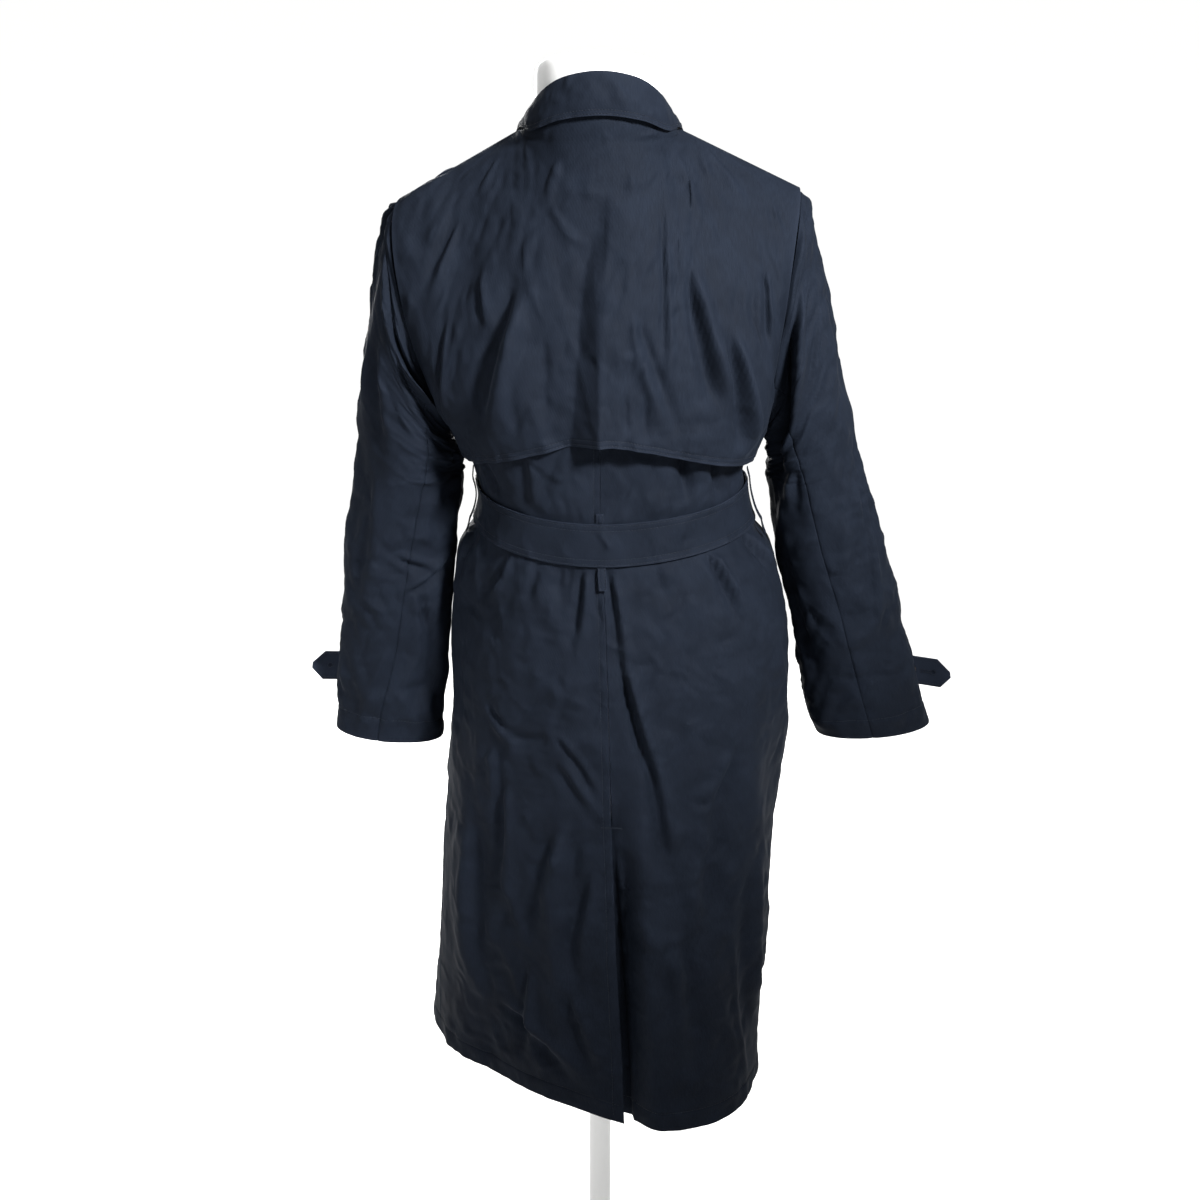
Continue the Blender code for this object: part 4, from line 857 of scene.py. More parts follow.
def panel_shell(name, back, g, h, out, edge, wear_and_painted_light, keep=None, rub=0.55):
    """A panel of the body. out is its face, and edge the distance to its nearest folded or sewn edge."""
    # The edges are rubbed paler, as worn cloth is; the share passed in from the ridges is painted highlight.
    edge_rub_and_light = np.clip(rub * np.exp(-edge / RUB_REACH) + wear_and_painted_light, 0, 1)
    face, normal = cloth_point(back, g, h), cloth_normal(back, g, h)
    return add_shell(name, face, normal, (out, out - CLOTH), rolled(edge), (g * REACH, h), edge_rub_and_light, keep)


def painted_ridge_highlight(g, h):
    """Ridges and large swells painted a little paler: a painted highlight on raised cloth, over a faint even
    paling and random patches.
    """
    ridges = np.clip(crease_height(BODY_FOLDS, g * REACH, h), 0, 0.006)
    return 0.10 + 14.0 * ridges + 0.06 * rumple(g, h, 0.03, 4)


def vent_in(g, h):
    """Beside the vent the right half goes in under the left one, further at the hem, and swells out again."""
    below = ease((VENT_Z + 0.055 - h) / 0.055)
    low = ease((VENT_Z + 0.02 - h) / 0.16)
    fold = -0.0085 * ease((1.098 - g) / 0.078) + 0.0035 * np.exp(-(((g - 1.115) / 0.035) ** 2))
    groove = -0.0110 * ease((1.024 - g) / 0.018)
    return -0.0028 * ease((1.08 - g) / 0.07) * below + (fold + groove) * low


def vent_out(g, h):
    """The left half's free edge at the vent lifts a little."""
    return 0.0035 * ease((g - 0.90) / 0.10) * ease((VENT_Z + 0.01 - h) / 0.18)


g = edged(HALF_SEAM, 1 - HALF_SEAM, REACH, PITCH / REACH, 1 - (BACK_TOPSTITCH + SEWN_STEPS) / REACH)
h = panel_levels(g)
g = np.broadcast_to(g, h.shape)
seam_off = (1 - HALF_SEAM - g) * REACH
out = body_out(g, h) + vent_out(g, h) + stitched(seam_off - BACK_TOPSTITCH)
out = out + pucker(h, seam_off, 31) + pucker(h, g * REACH, 32)
edge = np.minimum.reduce([(g - HALF_SEAM) * REACH, seam_off, h - hem_height(g), TOP_H - h])
back_left = panel_shell("coat_back_left", True, g, h, out, edge, painted_ridge_highlight(g, h), rub=BACK_RUB)
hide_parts("back_left")

vent_edge = 1 - UNDERLAP / REACH
g = edged(1 + HALF_SEAM, 2 - HALF_SEAM, REACH, PITCH / REACH, vent_edge + EDGE_STEPS / REACH)
h = panel_levels(g)
g = np.broadcast_to(g, h.shape)
out = body_out(g, h) + vent_in(g, h) + pucker(h, (g - 1) * REACH, 31) * (h > VENT_Z)
out = out + pucker(h, (2 - g) * REACH, 33)
inner_edge = np.where(h > VENT_Z, 1 + HALF_SEAM, vent_edge)
from_seams = np.minimum(np.abs(g - inner_edge), 2 - HALF_SEAM - g) * REACH
edge = np.minimum.reduce([from_seams, h - hem_height(g), TOP_H - h])
cells = (g[:-1, :-1] > 1) | (h[1:, :-1] <= VENT_Z + 1e-6)
back_right = panel_shell("coat_back_right", True, g, h, out, edge, painted_ridge_highlight(g, h), cells, rub=BACK_RUB)
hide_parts("back_right")


def body_line(back, g, h, lift):
    """Points and normals of a row of stitches on the body."""
    g, h = np.broadcast_arrays(np.asarray(g, float), np.asarray(h, float))
    return moved_out(back, g, h, lift + 0.00012), cloth_normal(back, g, h)


# The centre back's topstitch stops for the belt.
lines = []
for low, high in ((HEM_Z + 0.004, BELT_BACK_Z - 0.024), (BELT_BACK_Z + 0.0235, 1.165)):
    h = np.arange(low, high, 0.004)
    if low < VENT_Z:
        h = np.append(h, BELT_BACK_Z - 0.0235)
    g = np.full_like(h, 1 - BACK_TOPSTITCH / REACH)
    lines.append(body_line(True, g, h, body_out(g, h) + vent_out(g, h) - 0.0003))
g = np.linspace(0.008, 1 - HALF_SEAM - 0.006, 70)
h = hem_height(g) + HEM_TURNING
lines.append(body_line(True, g, h, body_out(g, h) + vent_out(g, h)))
left_back_stitches = add_stitches("stitches_back_left", lines)
g = np.linspace(vent_edge + 0.01, 2 - 0.008, 80)
h = hem_height(g) + HEM_TURNING
right_line = body_line(True, g, h, body_out(g, h) + vent_in(g, h))
right_back_stitches = add_stitches("stitches_back_right", [right_line])
# A bar tack of close zigzag stitches holds the top of the vent.
g = np.linspace(1 - 0.0095 / REACH, 1 + 0.0115 / REACH, 40)
h = VENT_Z + 0.0012 * np.where(np.arange(40) % 2 == 0, 1, -1)
vent_tack = add_stitches("vent_bar_tack", [body_line(True, g, h, body_out(g, h) + 0.0003)])

# ---- Fronts ----
# A right and a left front of the same gabardine, the right one lapping over the left by 180 mm. Their free
# edges are faced and topstitched 7 mm in; above the break they run along the roll of the lapels.
OVERLAP = 0.38
BREAK_H = 1.19
ROLL_TOP = 0.72
FRONT_UNDERLAP = 0.0048
FRONT_TOPSTITCH = 0.007
# The fronts hang plainly, so their points are further apart than the backs'.
FRONT_WIDE_PITCH = 1.5 * PITCH
FRONT_TALL_PITCH = 1.4 * PITCH


def right_edge(h):
    """g of the right front's free edge: straight up to the break, then along the roll line."""
    up = np.clip((h - BREAK_H) / (UNDERARM_Z + UPPER - BREAK_H), 0, 1)
    return 3 + OVERLAP - (OVERLAP + ROLL_TOP * (1 - ARMHOLE_SHARE)) * up


def left_edge(h):
    return 6 - right_edge(h)


def front_in(side, g, h):
    """The left front lies inside the right one, and comes level just past its edge."""
    if side == "right":
        return 0.0 * h
    return -FRONT_UNDERLAP * (1 - ease((g - right_edge(h) - 0.01) / 0.14))


CROSSING_H = BREAK_H + (UNDERARM_Z + UPPER - BREAK_H) * OVERLAP / (OVERLAP + ROLL_TOP * (1 - ARMHOLE_SHARE))
FRONT_WIDTH = 1.38 * REACH
for side, side_g, free_edge in (("right", 2 + HALF_SEAM, right_edge), ("left", 4 - HALF_SEAM, left_edge)):
    sewn_share = 1 - (FRONT_TOPSTITCH + SEWN_STEPS) / FRONT_WIDTH
    shares = edged(0, 1, FRONT_WIDTH, FRONT_WIDE_PITCH / FRONT_WIDTH, sewn_share)
    h = panel_levels(np.full(len(shares), 3.0), FRONT_TALL_PITCH)
    g = side_g + (free_edge(h) - side_g) * shares
    from_edge = np.abs(free_edge(h) - g) * REACH
    from_side = np.abs(g - side_g) * REACH
    out = body_out(g, h) + stitched(from_edge - FRONT_TOPSTITCH) + pucker(h, from_edge, 34)
    out = out + pucker(h, from_side, 32 if side == "left" else 33) + front_in(side, g, h)
    edge = np.minimum.reduce([from_edge, from_side, h - HEM_Z, TOP_H - h])
    made = panel_shell("coat_front_" + side, False, g, h, out, edge, painted_ridge_highlight(g, h))
    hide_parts("front_" + side)
    h = np.arange(HEM_Z + 0.006, BREAK_H - 0.004, 0.004)
    g = free_edge(h) + math.copysign(FRONT_TOPSTITCH / REACH, side_g - 3)
    down = body_line(False, g, h, body_out(g, h) + front_in(side, g, h) - 0.0003)
    g = np.linspace(side_g, free_edge(HEM_Z), 80)[2:-2]
    h = HEM_Z + HEM_TURNING + 0 * g
    level = body_line(False, g, h, body_out(g, h) + front_in(side, g, h))
    sewn = add_stitches("stitches_front_" + side, [down, level])

# ---- Storm flap ----
# A loose second back of gabardine, caught in the neck, shoulder and armhole seams, that hangs free to its
# hem. The hem is curved up to the centre back and topstitched twice, and the flap folds deeply beside the
# centre.
FLAP_LIFT = CLOTH + 0.0012
FLAP_STITCHES = (0.0022, 0.0068)
FLAP_PITCH = 0.0028  # closer than the other panels', because its folds run aslant
FLAP_BORDER = 0.013  # the hem's border, whose points are closer
FLAP_MEAN_HEM = 1.13
FLAP_FOLDS = in_metres([
    # the two folds that fan out from the shoulders to the hem
    (0.665, 1.275, 0.560, 1.224, 0.440, 1.140, 0.0170, 0.0110, 1.0),
    (1.390, 1.285, 1.450, 1.226, 1.560, 1.170, 0.0120, 0.0125, 1.0),
    (1.560, 1.240, 1.645, 1.186, 1.680, 1.130, 0.0130, 0.0120, 1.0),
    # long creases between them
    (1.235, 1.345, 1.292, 1.266, 1.305, 1.190, 0.0060, 0.0034, 1.0),
    (1.130, 1.262, 1.185, 1.218, 1.300, 1.180, 0.0085, 0.0034, -1.0),
    (1.180, 1.240, 1.250, 1.205, 1.360, 1.150, 0.0085, 0.0034, -1.0),
    (0.910, 1.350, 0.758, 1.316, 0.600, 1.285, 0.0045, -0.0030, 0.0, 0.5),
    (0.465, 1.280, 0.478, 1.255, 0.495, 1.235, 0.0060, 0.0036, 1.0),
    (0.330, 1.335, 0.260, 1.305, 0.150, 1.280, 0.0110, 0.0045, 1.0),
    (0.300, 1.260, 0.240, 1.215, 0.220, 1.170, 0.0110, 0.0040, 1.0),
    (1.797, 1.300, 1.815, 1.270, 1.805, 1.235, 0.0080, 0.0045, 1.0),
    (0.760, 1.240, 0.740, 1.200, 0.745, 1.140, 0.0070, -0.0026),
    (0.620, 1.215, 0.610, 1.175, 0.640, 1.130, 0.0070, -0.0026),
    # gathers below the collar
    (0.512, 1.385, 0.450, 1.365, 0.390, 1.335, 0.0110, 0.0036, 1.0),
    (0.868, 1.385, 0.800, 1.355, 0.740, 1.320, 0.0120, 0.0036, 1.0),
    (1.100, 1.395, 1.130, 1.365, 1.140, 1.330, 0.0090, 0.0028, -1.0),
    (1.500, 1.395, 1.600, 1.375, 1.740, 1.340, 0.0120, 0.0036, -1.0),
    (1.300, 1.390, 1.420, 1.355, 1.500, 1.310, 0.0140, 0.0036, -1.0),
    # small creases at the hem
    (1.120, 1.200, 1.125, 1.180, 1.130, 1.145, 0.0050, -0.0024),
    (1.210, 1.200, 1.215, 1.180, 1.215, 1.145, 0.0050, -0.0024),
])
flap_columns = edged(0, 2, REACH, FLAP_PITCH / REACH, np.linspace(0.8, 1.2, 41))
first_row, second_row = FLAP_STITCHES
border = [EDGE_STEPS, first_row + SEWN_STEPS[2:3], second_row + SEWN_STEPS, [FLAP_BORDER]]
flap_rows = spread(np.concatenate(border), 0.0012)
hem = flap_hem(flap_columns)
count = math.ceil((TOP_H - FLAP_MEAN_HEM) / FLAP_PITCH)
above = [hem + FLAP_BORDER + (TOP_H - hem - FLAP_BORDER) * k / count for k in range(1, count + 1)]
flap_h = np.array([hem + row for row in flap_rows] + above)
flap_inset = 0.009 + 0.031 * (1 - ease((flap_h - UNDERARM_Z) / 0.09))
flap_g = 1 + (flap_columns - 1) * (1 - flap_inset)
FOLD_TOP = 1.352
FOLD_LENGTH = 0.197


def flap_fold(g, h):
    """The deep fold beside the centre: the cloth dips, climbs to a sharp ridge and falls away slowly."""
    down = np.clip((FOLD_TOP - h) / FOLD_LENGTH, 0, 1)
    ridge = 0.995 + 0.030 * (1 - ease(down * 1.6))
    width = 0.015 + 0.125 * down
    climb = np.clip((g - ridge + width) / width, 0, 1) ** 1.12
    fall = np.exp(-np.maximum(g - ridge, 0) * REACH / 0.075)
    foot = 0.0015 * ease(down * 3) * np.exp(-(((g - ridge + width) / 0.045) ** 2))
    return 0.76 * width * REACH * ease(down * 5) * np.where(g < ridge, climb, fall) - foot


def flap_out(g, h):
    """How far the flap stands off the plain surface: a little all over, more towards its hem."""
    hem = flap_hem(g)
    hang = (h - hem) / (UNDERARM_Z + UPPER - hem)
    lift = FLAP_LIFT + 0.0070 * ease(1.3 * (1 - hang)) * ease(np.minimum(g, 2 - g) * 4)
    above = h - hem
    sewn = sum(stitched(above - row) for row in FLAP_STITCHES) + pucker(g * REACH, above, 41)
    drape = crease_height(FLAP_FOLDS, g * REACH, h) + worn(g * REACH, h, 21)
    pressed = ease(np.minimum(g, 2 - g) * 9) * ease((TOP_H - h) / 0.03)
    return np.maximum(lift + drape * pressed + flap_fold(g, h), FLAP_LIFT + 0.0004) + sewn


from_sides = np.minimum(flap_columns, 2 - flap_columns) * REACH
flap_edge = np.minimum(np.minimum(from_sides, flap_h - flap_hem(flap_columns)), TOP_H - flap_h)
# The flap's raised folds are painted paler: a painted highlight, over a faint even paling.
flap_ridge_highlight = 0.10 + 12.0 * np.clip(crease_height(FLAP_FOLDS, flap_g * REACH, flap_h), 0, 0.007)
flap = panel_shell("storm_flap_cloth", True, flap_g, flap_h, flap_out(flap_g, flap_h), flap_edge, flap_ridge_highlight)
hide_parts("storm_flap")
g = np.linspace(0.06, 1.94, 220)
rows = [flap_hem(g) + row for row in FLAP_STITCHES]
flap_stitches = add_stitches("stitches_storm_flap", [body_line(True, g, h, flap_out(g, h)) for h in rows])

# ---- Lapels ----
# The fronts' upper edges, faced with the same cloth and turned back onto the chest along a soft roll. Each is
# one piece with its front in the real coat, and is topstitched 7 mm inside its free edge.
LAPEL_TOP = UNDERARM_Z + UPPER * 0.92
LAPEL_WIDTH = 0.09
# Distance of the lapel's face from the front, against its distance in g from the roll line.
ROLL_AWAY = (-0.012, 0.0, 0.02, 0.16)
ROLL_OUT = (0.0004, 0.0028, 0.0074, 0.0074)
UNDER_RIGHT = 0.034  # the left lapel comes out from under the right front this far beyond its edge
for side, first_h in (("right", BREAK_H + 0.012), ("left", 1.312)):
    rows = edged(first_h, LAPEL_TOP, 1, PITCH)
    up = (rows - BREAK_H) / (LAPEL_TOP - BREAK_H)
    width = 0.40 * ease(up / 0.66) * (1 - 0.62 * ease((up - 0.66) / 0.34)) + 0.04
    share = edged(0, 1, LAPEL_WIDTH, 0.035, 1 - (FRONT_TOPSTITCH + SEWN_STEPS) / LAPEL_WIDTH)
    away = ROLL_AWAY[0] + (width[:, None] - ROLL_AWAY[0]) * share
    h = rows[:, None] + 0 * away
    if side == "right":
        g = right_edge(h) - away
        under = body_out(g, h)
    else:
        g = np.maximum(left_edge(h) + away, right_edge(h) + UNDER_RIGHT + 0.025 * share)
        away = g - left_edge(h)
        under = body_out(g, h) + front_in("left", g, h) + 0.0020 * ease(away / 0.05)
    out = under + np.interp(away, ROLL_AWAY, ROLL_OUT)
    if side == "left":
        out = np.maximum(out, under + 0.0040 * (1 - ease((h - CROSSING_H - 0.02) / 0.05)))
    tip_off = ((width[:, None] - away) if side == "right" else (g.max(axis=1)[:, None] - g)) * REACH
    edge = np.minimum.reduce([tip_off, h - first_h, LAPEL_TOP - h])
    out = out + stitched(tip_off - FRONT_TOPSTITCH) + 0.0006 * rumple(g * REACH, h, 0.03, 51)
    if side == "right":
        g, h, out, edge, tip_off = (grid[:, ::-1] for grid in (g, h, out, edge, tip_off))
    made = panel_shell("lapel_cloth_" + side, False, g, h, out, edge, 0.12 + 0 * h)
    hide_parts("lapel_" + side)
    chosen = (np.arange(len(rows)), np.argmin(np.abs(tip_off - FRONT_TOPSTITCH), axis=1))
    top_row = np.argmin(np.abs(rows - (LAPEL_TOP - FRONT_TOPSTITCH)))
    lines = [
        body_line(False, g[chosen][2:-2], h[chosen][2:-2], out[chosen][2:-2]),
        body_line(False, g[top_row], h[top_row], out[top_row]),
    ]
    sewn = add_stitches("stitches_lapel_" + side, lines)

# ---- Collar ----
# A stand of gabardine sewn into the neck seam, and a deeper fall that turns over it. The fall is interlined,
# so it rolls in one smooth curve, and two rows of topstitching follow its free edge.
STAND_TURN = 128.0
STAND_HEIGHT = 0.04
FALL_TURN = 132
FALL_DEPTH = 0.046
DEGREES_EACH_METRE = 900  # how far one metre of the fall's ends goes round
COLLAR_STITCHES = (0.0022, 0.0065)
Neck = namedtuple("Neck", "turn fold_x fold_y fold_z edge_x edge_y edge_z")
COLLAR = [
    Neck(0, 0.0000, 0.0800, 1.5150, 0.0000, 0.0890, 1.4717),
    Neck(30, 0.0370, 0.0710, 1.5080, 0.0405, 0.0795, 1.4662),
    Neck(60, 0.0600, 0.0450, 1.4910, 0.0700, 0.0530, 1.4535),
    Neck(90, 0.0720, 0.0010, 1.4690, 0.0810, 0.0030, 1.4516),
    Neck(115, 0.0745, -0.0360, 1.4540, 0.0895, -0.0530, 1.4355),
    Neck(132, 0.0690, -0.0600, 1.4420, 0.1060, -0.1000, 1.3800),
]
right_half = np.array(COLLAR, float)
left_half = right_half[:0:-1] * [-1, -1, 1, 1, -1, 1, 1]
COLLAR_ROWS = np.concatenate([left_half, right_half])


def collar_lines(turn):
    """The collar's fold line and free edge at an angle in degrees from the centre back."""
    row = smooth_table(COLLAR_ROWS[:, 0], COLLAR_ROWS[:, 1:], turn)
    return row[..., :3], row[..., 3:]


def grid_normal(points):
    """Unit normals of a grid of points."""
    return unit(np.cross(np.gradient(points, axis=1), np.gradient(points, axis=0)))


def outward_of(points):
    """Level unit vectors away from the neck's axis."""
    return unit(points * [1, 1, 0] - [0, NECK_Y, 0])


end_steps = EDGE_STEPS * DEGREES_EACH_METRE
turns = spread(np.concatenate([-FALL_TURN + end_steps, FALL_TURN - end_steps]), 1.7)
fold, edge = collar_lines(turns)
sewn_rows = [1 - (row + step) / FALL_DEPTH for row in COLLAR_STITCHES for step in SEWN_STEPS[1:4]]
shares = edged(0, 1, FALL_DEPTH, 0.055, sewn_rows)
steps = shares[:, None, None]
away = outward_of(fold)
belly = (fold * 0.5 + edge * 0.5) + away * 0.006
collar_face = fold * (1 - steps) ** 2 + belly * 2 * steps * (1 - steps) + edge * steps**2
collar_out = grid_normal(collar_face)
along = turns / 1000.0 * 1.3 + 0 * shares[:, None]
down = shares[:, None] * FALL_DEPTH + 0 * turns
from_free = FALL_DEPTH - down
from_ends = (FALL_TURN - np.abs(turns)) / DEGREES_EACH_METRE
crumple = 0.0010 * rumple(along * 1.6, down, 0.022, 61) + 0.0006 * rumple(along * 1.6, down, 0.009, 63)
relief = crumple * ease(shares[:, None] * 3) + pucker(along, from_free, 62)
relief = relief + sum(stitched(from_free - row) for row in COLLAR_STITCHES)
lip = rolled(np.minimum(np.minimum(down, from_free), from_ends))
wear_and_painted_light = np.clip(0.16 + 0.5 * np.exp(-from_free / 0.0025) + 0.35 * np.exp(-down / 0.004), 0, 1)
lifts = (relief, relief - CLOTH)
collar_fall = add_shell("collar_fall_cloth", collar_face, collar_out, lifts, lip, (along, down), wear_and_painted_light)
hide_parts("collar_fall")
lines = []
for row in COLLAR_STITCHES:
    chosen = np.argmin(np.abs(from_free[:, 0] - row))
    lift = (relief + lip)[chosen, 4:-4, None] + 0.0002
    outward = collar_out[chosen, 4:-4]
    lines.append((collar_face[chosen, 4:-4] + outward * lift, outward))
collar_stitches = add_stitches("stitches_collar", lines)

stand_turns = np.linspace(-STAND_TURN, STAND_TURN, 120)
stand_top, _ = collar_lines(stand_turns)
stand_foot = neckline(np.radians(stand_turns)) + [0, 0, 0.0012]
away = outward_of(stand_top)
stand_top = stand_top - away * (CLOTH + 0.0012) - [0, 0, 0.0016]
rise = edged(0, 1, STAND_HEIGHT, 0.12)[:, None]
face = stand_foot + (stand_top - stand_foot) * rise[..., None]
lip = rolled(np.minimum(rise, 1 - rise) * STAND_HEIGHT)
flat = (np.radians(stand_turns) * 0.08, rise * STAND_HEIGHT)
collar_stand = add_shell("collar_stand_cloth", face, away, (0, -CLOTH), lip, flat, 0.12)
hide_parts("collar_stand")

# ---- Sleeves ----
# Each sleeve is a wider top sleeve and a narrower under sleeve, joined by a front seam and a back seam, and
# eased into the armhole. The cuff is turned up 25 mm. Creases gather at the underarm and the elbow.
SIDE_SIGN = {"left": 1.0, "right": -1.0}
Ring = namedtuple("Ring", "x y z half_width half_depth lean")
# Centre lines below the underarm. lean is the tilt of the ring in degrees, outer side up.
SLEEVES = {
    "left": [
        Ring(0.2055, -0.010, 1.085, 0.0598, 0.0600, 3.0),
        Ring(0.2142, -0.012, 1.010, 0.0595, 0.0570, 4.0),
        Ring(0.2222, -0.013, 0.940, 0.0600, 0.0530, 5.0),
        Ring(0.2298, -0.018, 0.865, 0.0600, 0.0470, 5.0),
        Ring(0.2358, -0.026, 0.783, 0.0595, 0.0410, 5.0),
    ],
    "right": [
        Ring(-0.2330, -0.010, 1.085, 0.0505, 0.0580, 8.0),
        Ring(-0.2495, -0.012, 1.010, 0.0590, 0.0570, 10.0),
        Ring(-0.2675, -0.013, 0.940, 0.0615, 0.0530, 11.0),
        Ring(-0.2850, -0.018, 0.865, 0.0635, 0.0470, 9.0),
        Ring(-0.3060, -0.026, 0.788, 0.0630, 0.0410, 5.0),
    ],
}
CAP_LEAVE = {"left": (0.060, -0.090), "right": (0.030, -0.150)}  # outwards and down from the shoulder
BACK_SEAM_TOP = 122.0  # angles round the sleeve, from its outer line through its back
BACK_SEAM_CUFF = 94.0
LEFT_SEAM_SWING = 14.0
FRONT_SEAM = 236.0
ROUND_REACH = 0.00096  # mean length of cloth in one degree round
ARM_REACH = 0.305  # mean length of cloth in one unit of v
CUFF_TURNING = 0.025 / ARM_REACH
SLEEVE_CREASES = {
    "left": [
        (88, 0.30, 108, 0.22, 140, 0.16, 0.0120, 0.0125, 1.0),
        (66, 0.10, 80, 0.20, 92, 0.34, 0.0120, 0.0056, -1.0),
        (62, 0.44, 66, 0.70, 70, 0.92, 0.0140, 0.0048, 1.0),
        (84, 1.26, 113, 1.30, 146, 1.34, 0.0070, 0.0042, 1.0),
        (100, 1.42, 126, 1.35, 160, 1.28, 0.0090, 0.0059, -1.0),
        (112, 1.38, 123, 1.51, 126, 1.66, 0.0090, 0.0056, -1.0),
        (88, 1.41, 92, 1.48, 96, 1.56, 0.0050, -0.0025),
        (92, 1.81, 113, 1.78, 140, 1.80, 0.0060, -0.0025),
        (130, 1.50, 140, 1.69, 140, 1.92, 0.0110, -0.0050),
        (50, 0.95, 60, 1.20, 52, 1.50, 0.0160, 0.0036, 1.0),
        (30, 0.80, 34, 1.10, 26, 1.40, 0.0160, -0.0031),
        (150, 0.60, 160, 0.80, 158, 1.05, 0.0140, -0.0056),
        (195, 1.20, 215, 1.26, 250, 1.22, 0.0080, -0.0050),
        (190, 1.34, 220, 1.40, 262, 1.36, 0.0080, -0.0050),
        (-60, 1.30, -84, 1.26, -110, 1.30, 0.0080, -0.0042),
        (-30, 0.40, -60, 0.70, -70, 1.00, 0.0150, 0.0042, 1.0),
        (-10, 1.40, -20, 1.60, -12, 1.80, 0.0120, -0.0028),
    ],
    "right": [
        (36, 0.22, 60, 0.39, 74, 0.62, 0.0100, 0.0048, 1.0),
        (24, 0.38, 20, 0.59, 30, 0.80, 0.0150, -0.0050),
        (26, 0.80, 14, 1.12, 44, 1.44, 0.0090, 0.0036, -1.0),
        (24, 0.92, 42, 1.21, 72, 1.70, 0.0080, 0.0036, -1.0),
        (134, 1.76, 90, 1.71, 4, 1.82, 0.0045, -0.0021),
        (84, 0.14, 104, 0.24, 120, 0.62, 0.0150, 0.0170, -1.0),
        (140, 0.24, 150, 0.60, 158, 1.10, 0.0180, -0.0150),
        (108, 0.06, 124, 0.26, 132, 0.60, 0.0200, -0.0150),
        (134, 1.44, 126, 1.50, 120, 1.56, 0.0050, -0.0025),
        (98, 1.78, 92, 1.84, 86, 1.92, 0.0060, -0.0022),
        (118, 0.84, 128, 1.00, 132, 1.12, 0.0100, 0.0036, 1.0),
        (150, 1.25, 162, 1.50, 150, 1.80, 0.0130, -0.0056),
        (60, 1.00, 66, 1.24, 84, 1.48, 0.0130, 0.0028, 1.0),
        (195, 1.16, 215, 1.22, 250, 1.18, 0.0080, -0.0050),
        (190, 1.30, 220, 1.36, 262, 1.32, 0.0080, -0.0048),
        (-60, 1.24, -84, 1.20, -110, 1.26, 0.0080, -0.0042),
        (-30, 0.40, -56, 0.70, -70, 1.00, 0.0150, 0.0042, 1.0),
        (-12, 1.30, -22, 1.52, -10, 1.78, 0.0120, -0.0028),
    ],
}


def sleeve_point(side, angle, v):
    """A sleeve's surface: angle in degrees round it, v 0 at the armhole, 1 at the underarm, 2 at the cuff."""
    sign = SIDE_SIGN[side]
    angle, v = np.broadcast_arrays(np.asarray(angle, float), np.asarray(v, float))
    turn = np.radians(angle)
    rings = np.array(SLEEVES[side])
    row = smooth_table(np.linspace(1, 2, len(rings)), rings, np.clip(v, 1, 2))
    lean = np.radians(row[..., 5])[..., None]
    outward = stack(sign, 0, 0) * np.cos(lean) + stack(0, 0, 1) * np.sin(lean)
    across = outward * (row[..., 3] * np.cos(turn))[..., None]
    low = row[..., :3] + across + stack(0, 1, 0) * (row[..., 4] * np.sin(turn))[..., None]

    share = (1 + np.cos(turn)) / 2
    h = UNDERARM_Z + UPPER * share
    back_edge = cloth_point(True, np.full_like(h, 0.0 if side == "left" else 2.0), h)
    front_edge = cloth_point(False, np.full_like(h, 4.0 if side == "left" else 2.0), h)
    armhole = np.where((np.sin(turn) >= 0)[..., None], back_edge, front_edge)
    share = share[..., None]
    cap_out, cap_down = CAP_LEAVE[side]
    leave = stack(sign * 0.02, 0, -0.055) * (1 - share) + stack(sign * cap_out, 0, cap_down) * share
    leave = leave + stack(sign * 0.02, 0.030 * np.sin(turn), 0)
    armhole = armhole + unit(leave) * ARMHOLE_GAP + stack(sign * 0.0006, 0, 0)
    down = unit(np.array([rings[1, 0] - rings[0, 0], 0, rings[1, 2] - rings[0, 2]]))
    arrive = down * (0.075 + 0.20 * share)
    u = np.clip(v, 0, 1)[..., None]
    start = armhole * (1 + 2 * u) + leave * u
    end = low * (3 - 2 * u) - arrive * (1 - u)
    high = start * (1 - u) ** 2 + end * u**2
    return np.where((v < 1)[..., None], high, low)


def sleeve_normal(side, angle, v):
    across = sleeve_point(side, angle + 1.0, v) - sleeve_point(side, angle - 1.0, v)
    low = sleeve_point(side, angle, np.minimum(v + 0.01, 2))
    down = low - sleeve_point(side, angle, np.maximum(v - 0.01, 0))
    return unit(np.cross(down, across) * SIDE_SIGN[side])


def back_seam(side, v):
    """Angle of the sleeve's back seam. On the left it swings outwards at the cuff."""
    swing = LEFT_SEAM_SWING * ease((v - 1.62) / 0.38) if side == "left" else 0.0
    return BACK_SEAM_TOP + (BACK_SEAM_CUFF - BACK_SEAM_TOP) * ease(v / 2) - swing


def sleeve_out(side, angle, v):
    """How far a sleeve's cloth stands off its plain surface."""
    folds = in_metres(SLEEVE_CREASES[side], ROUND_REACH, ARM_REACH)
    first = FRONT_SEAM - 360
    turned = (angle - first) % 360 + first
    x, y = turned * ROUND_REACH, v * ARM_REACH
    drape = crease_height(folds, x, y) + 1.3 * worn(x, y, 71 if side == "left" else 81)
    drape = drape * ease(np.minimum(turned - first, FRONT_SEAM - turned) * ROUND_REACH / 0.02)
    to_back = (turned - back_seam(side, v)) * ROUND_REACH
    sewn = pucker(y, to_back, 75) + pucker(x, y, 76) - 0.0008 * np.exp(-((to_back / 0.0018) ** 2))
    cuff = stitched(y - (2 - CUFF_TURNING) * ARM_REACH) + 0.0004 * ease((v - 2 + CUFF_TURNING) / 0.008)
    return drape * ease(v / 0.05) * ease((2.02 - v) / 0.10) + sewn + cuff


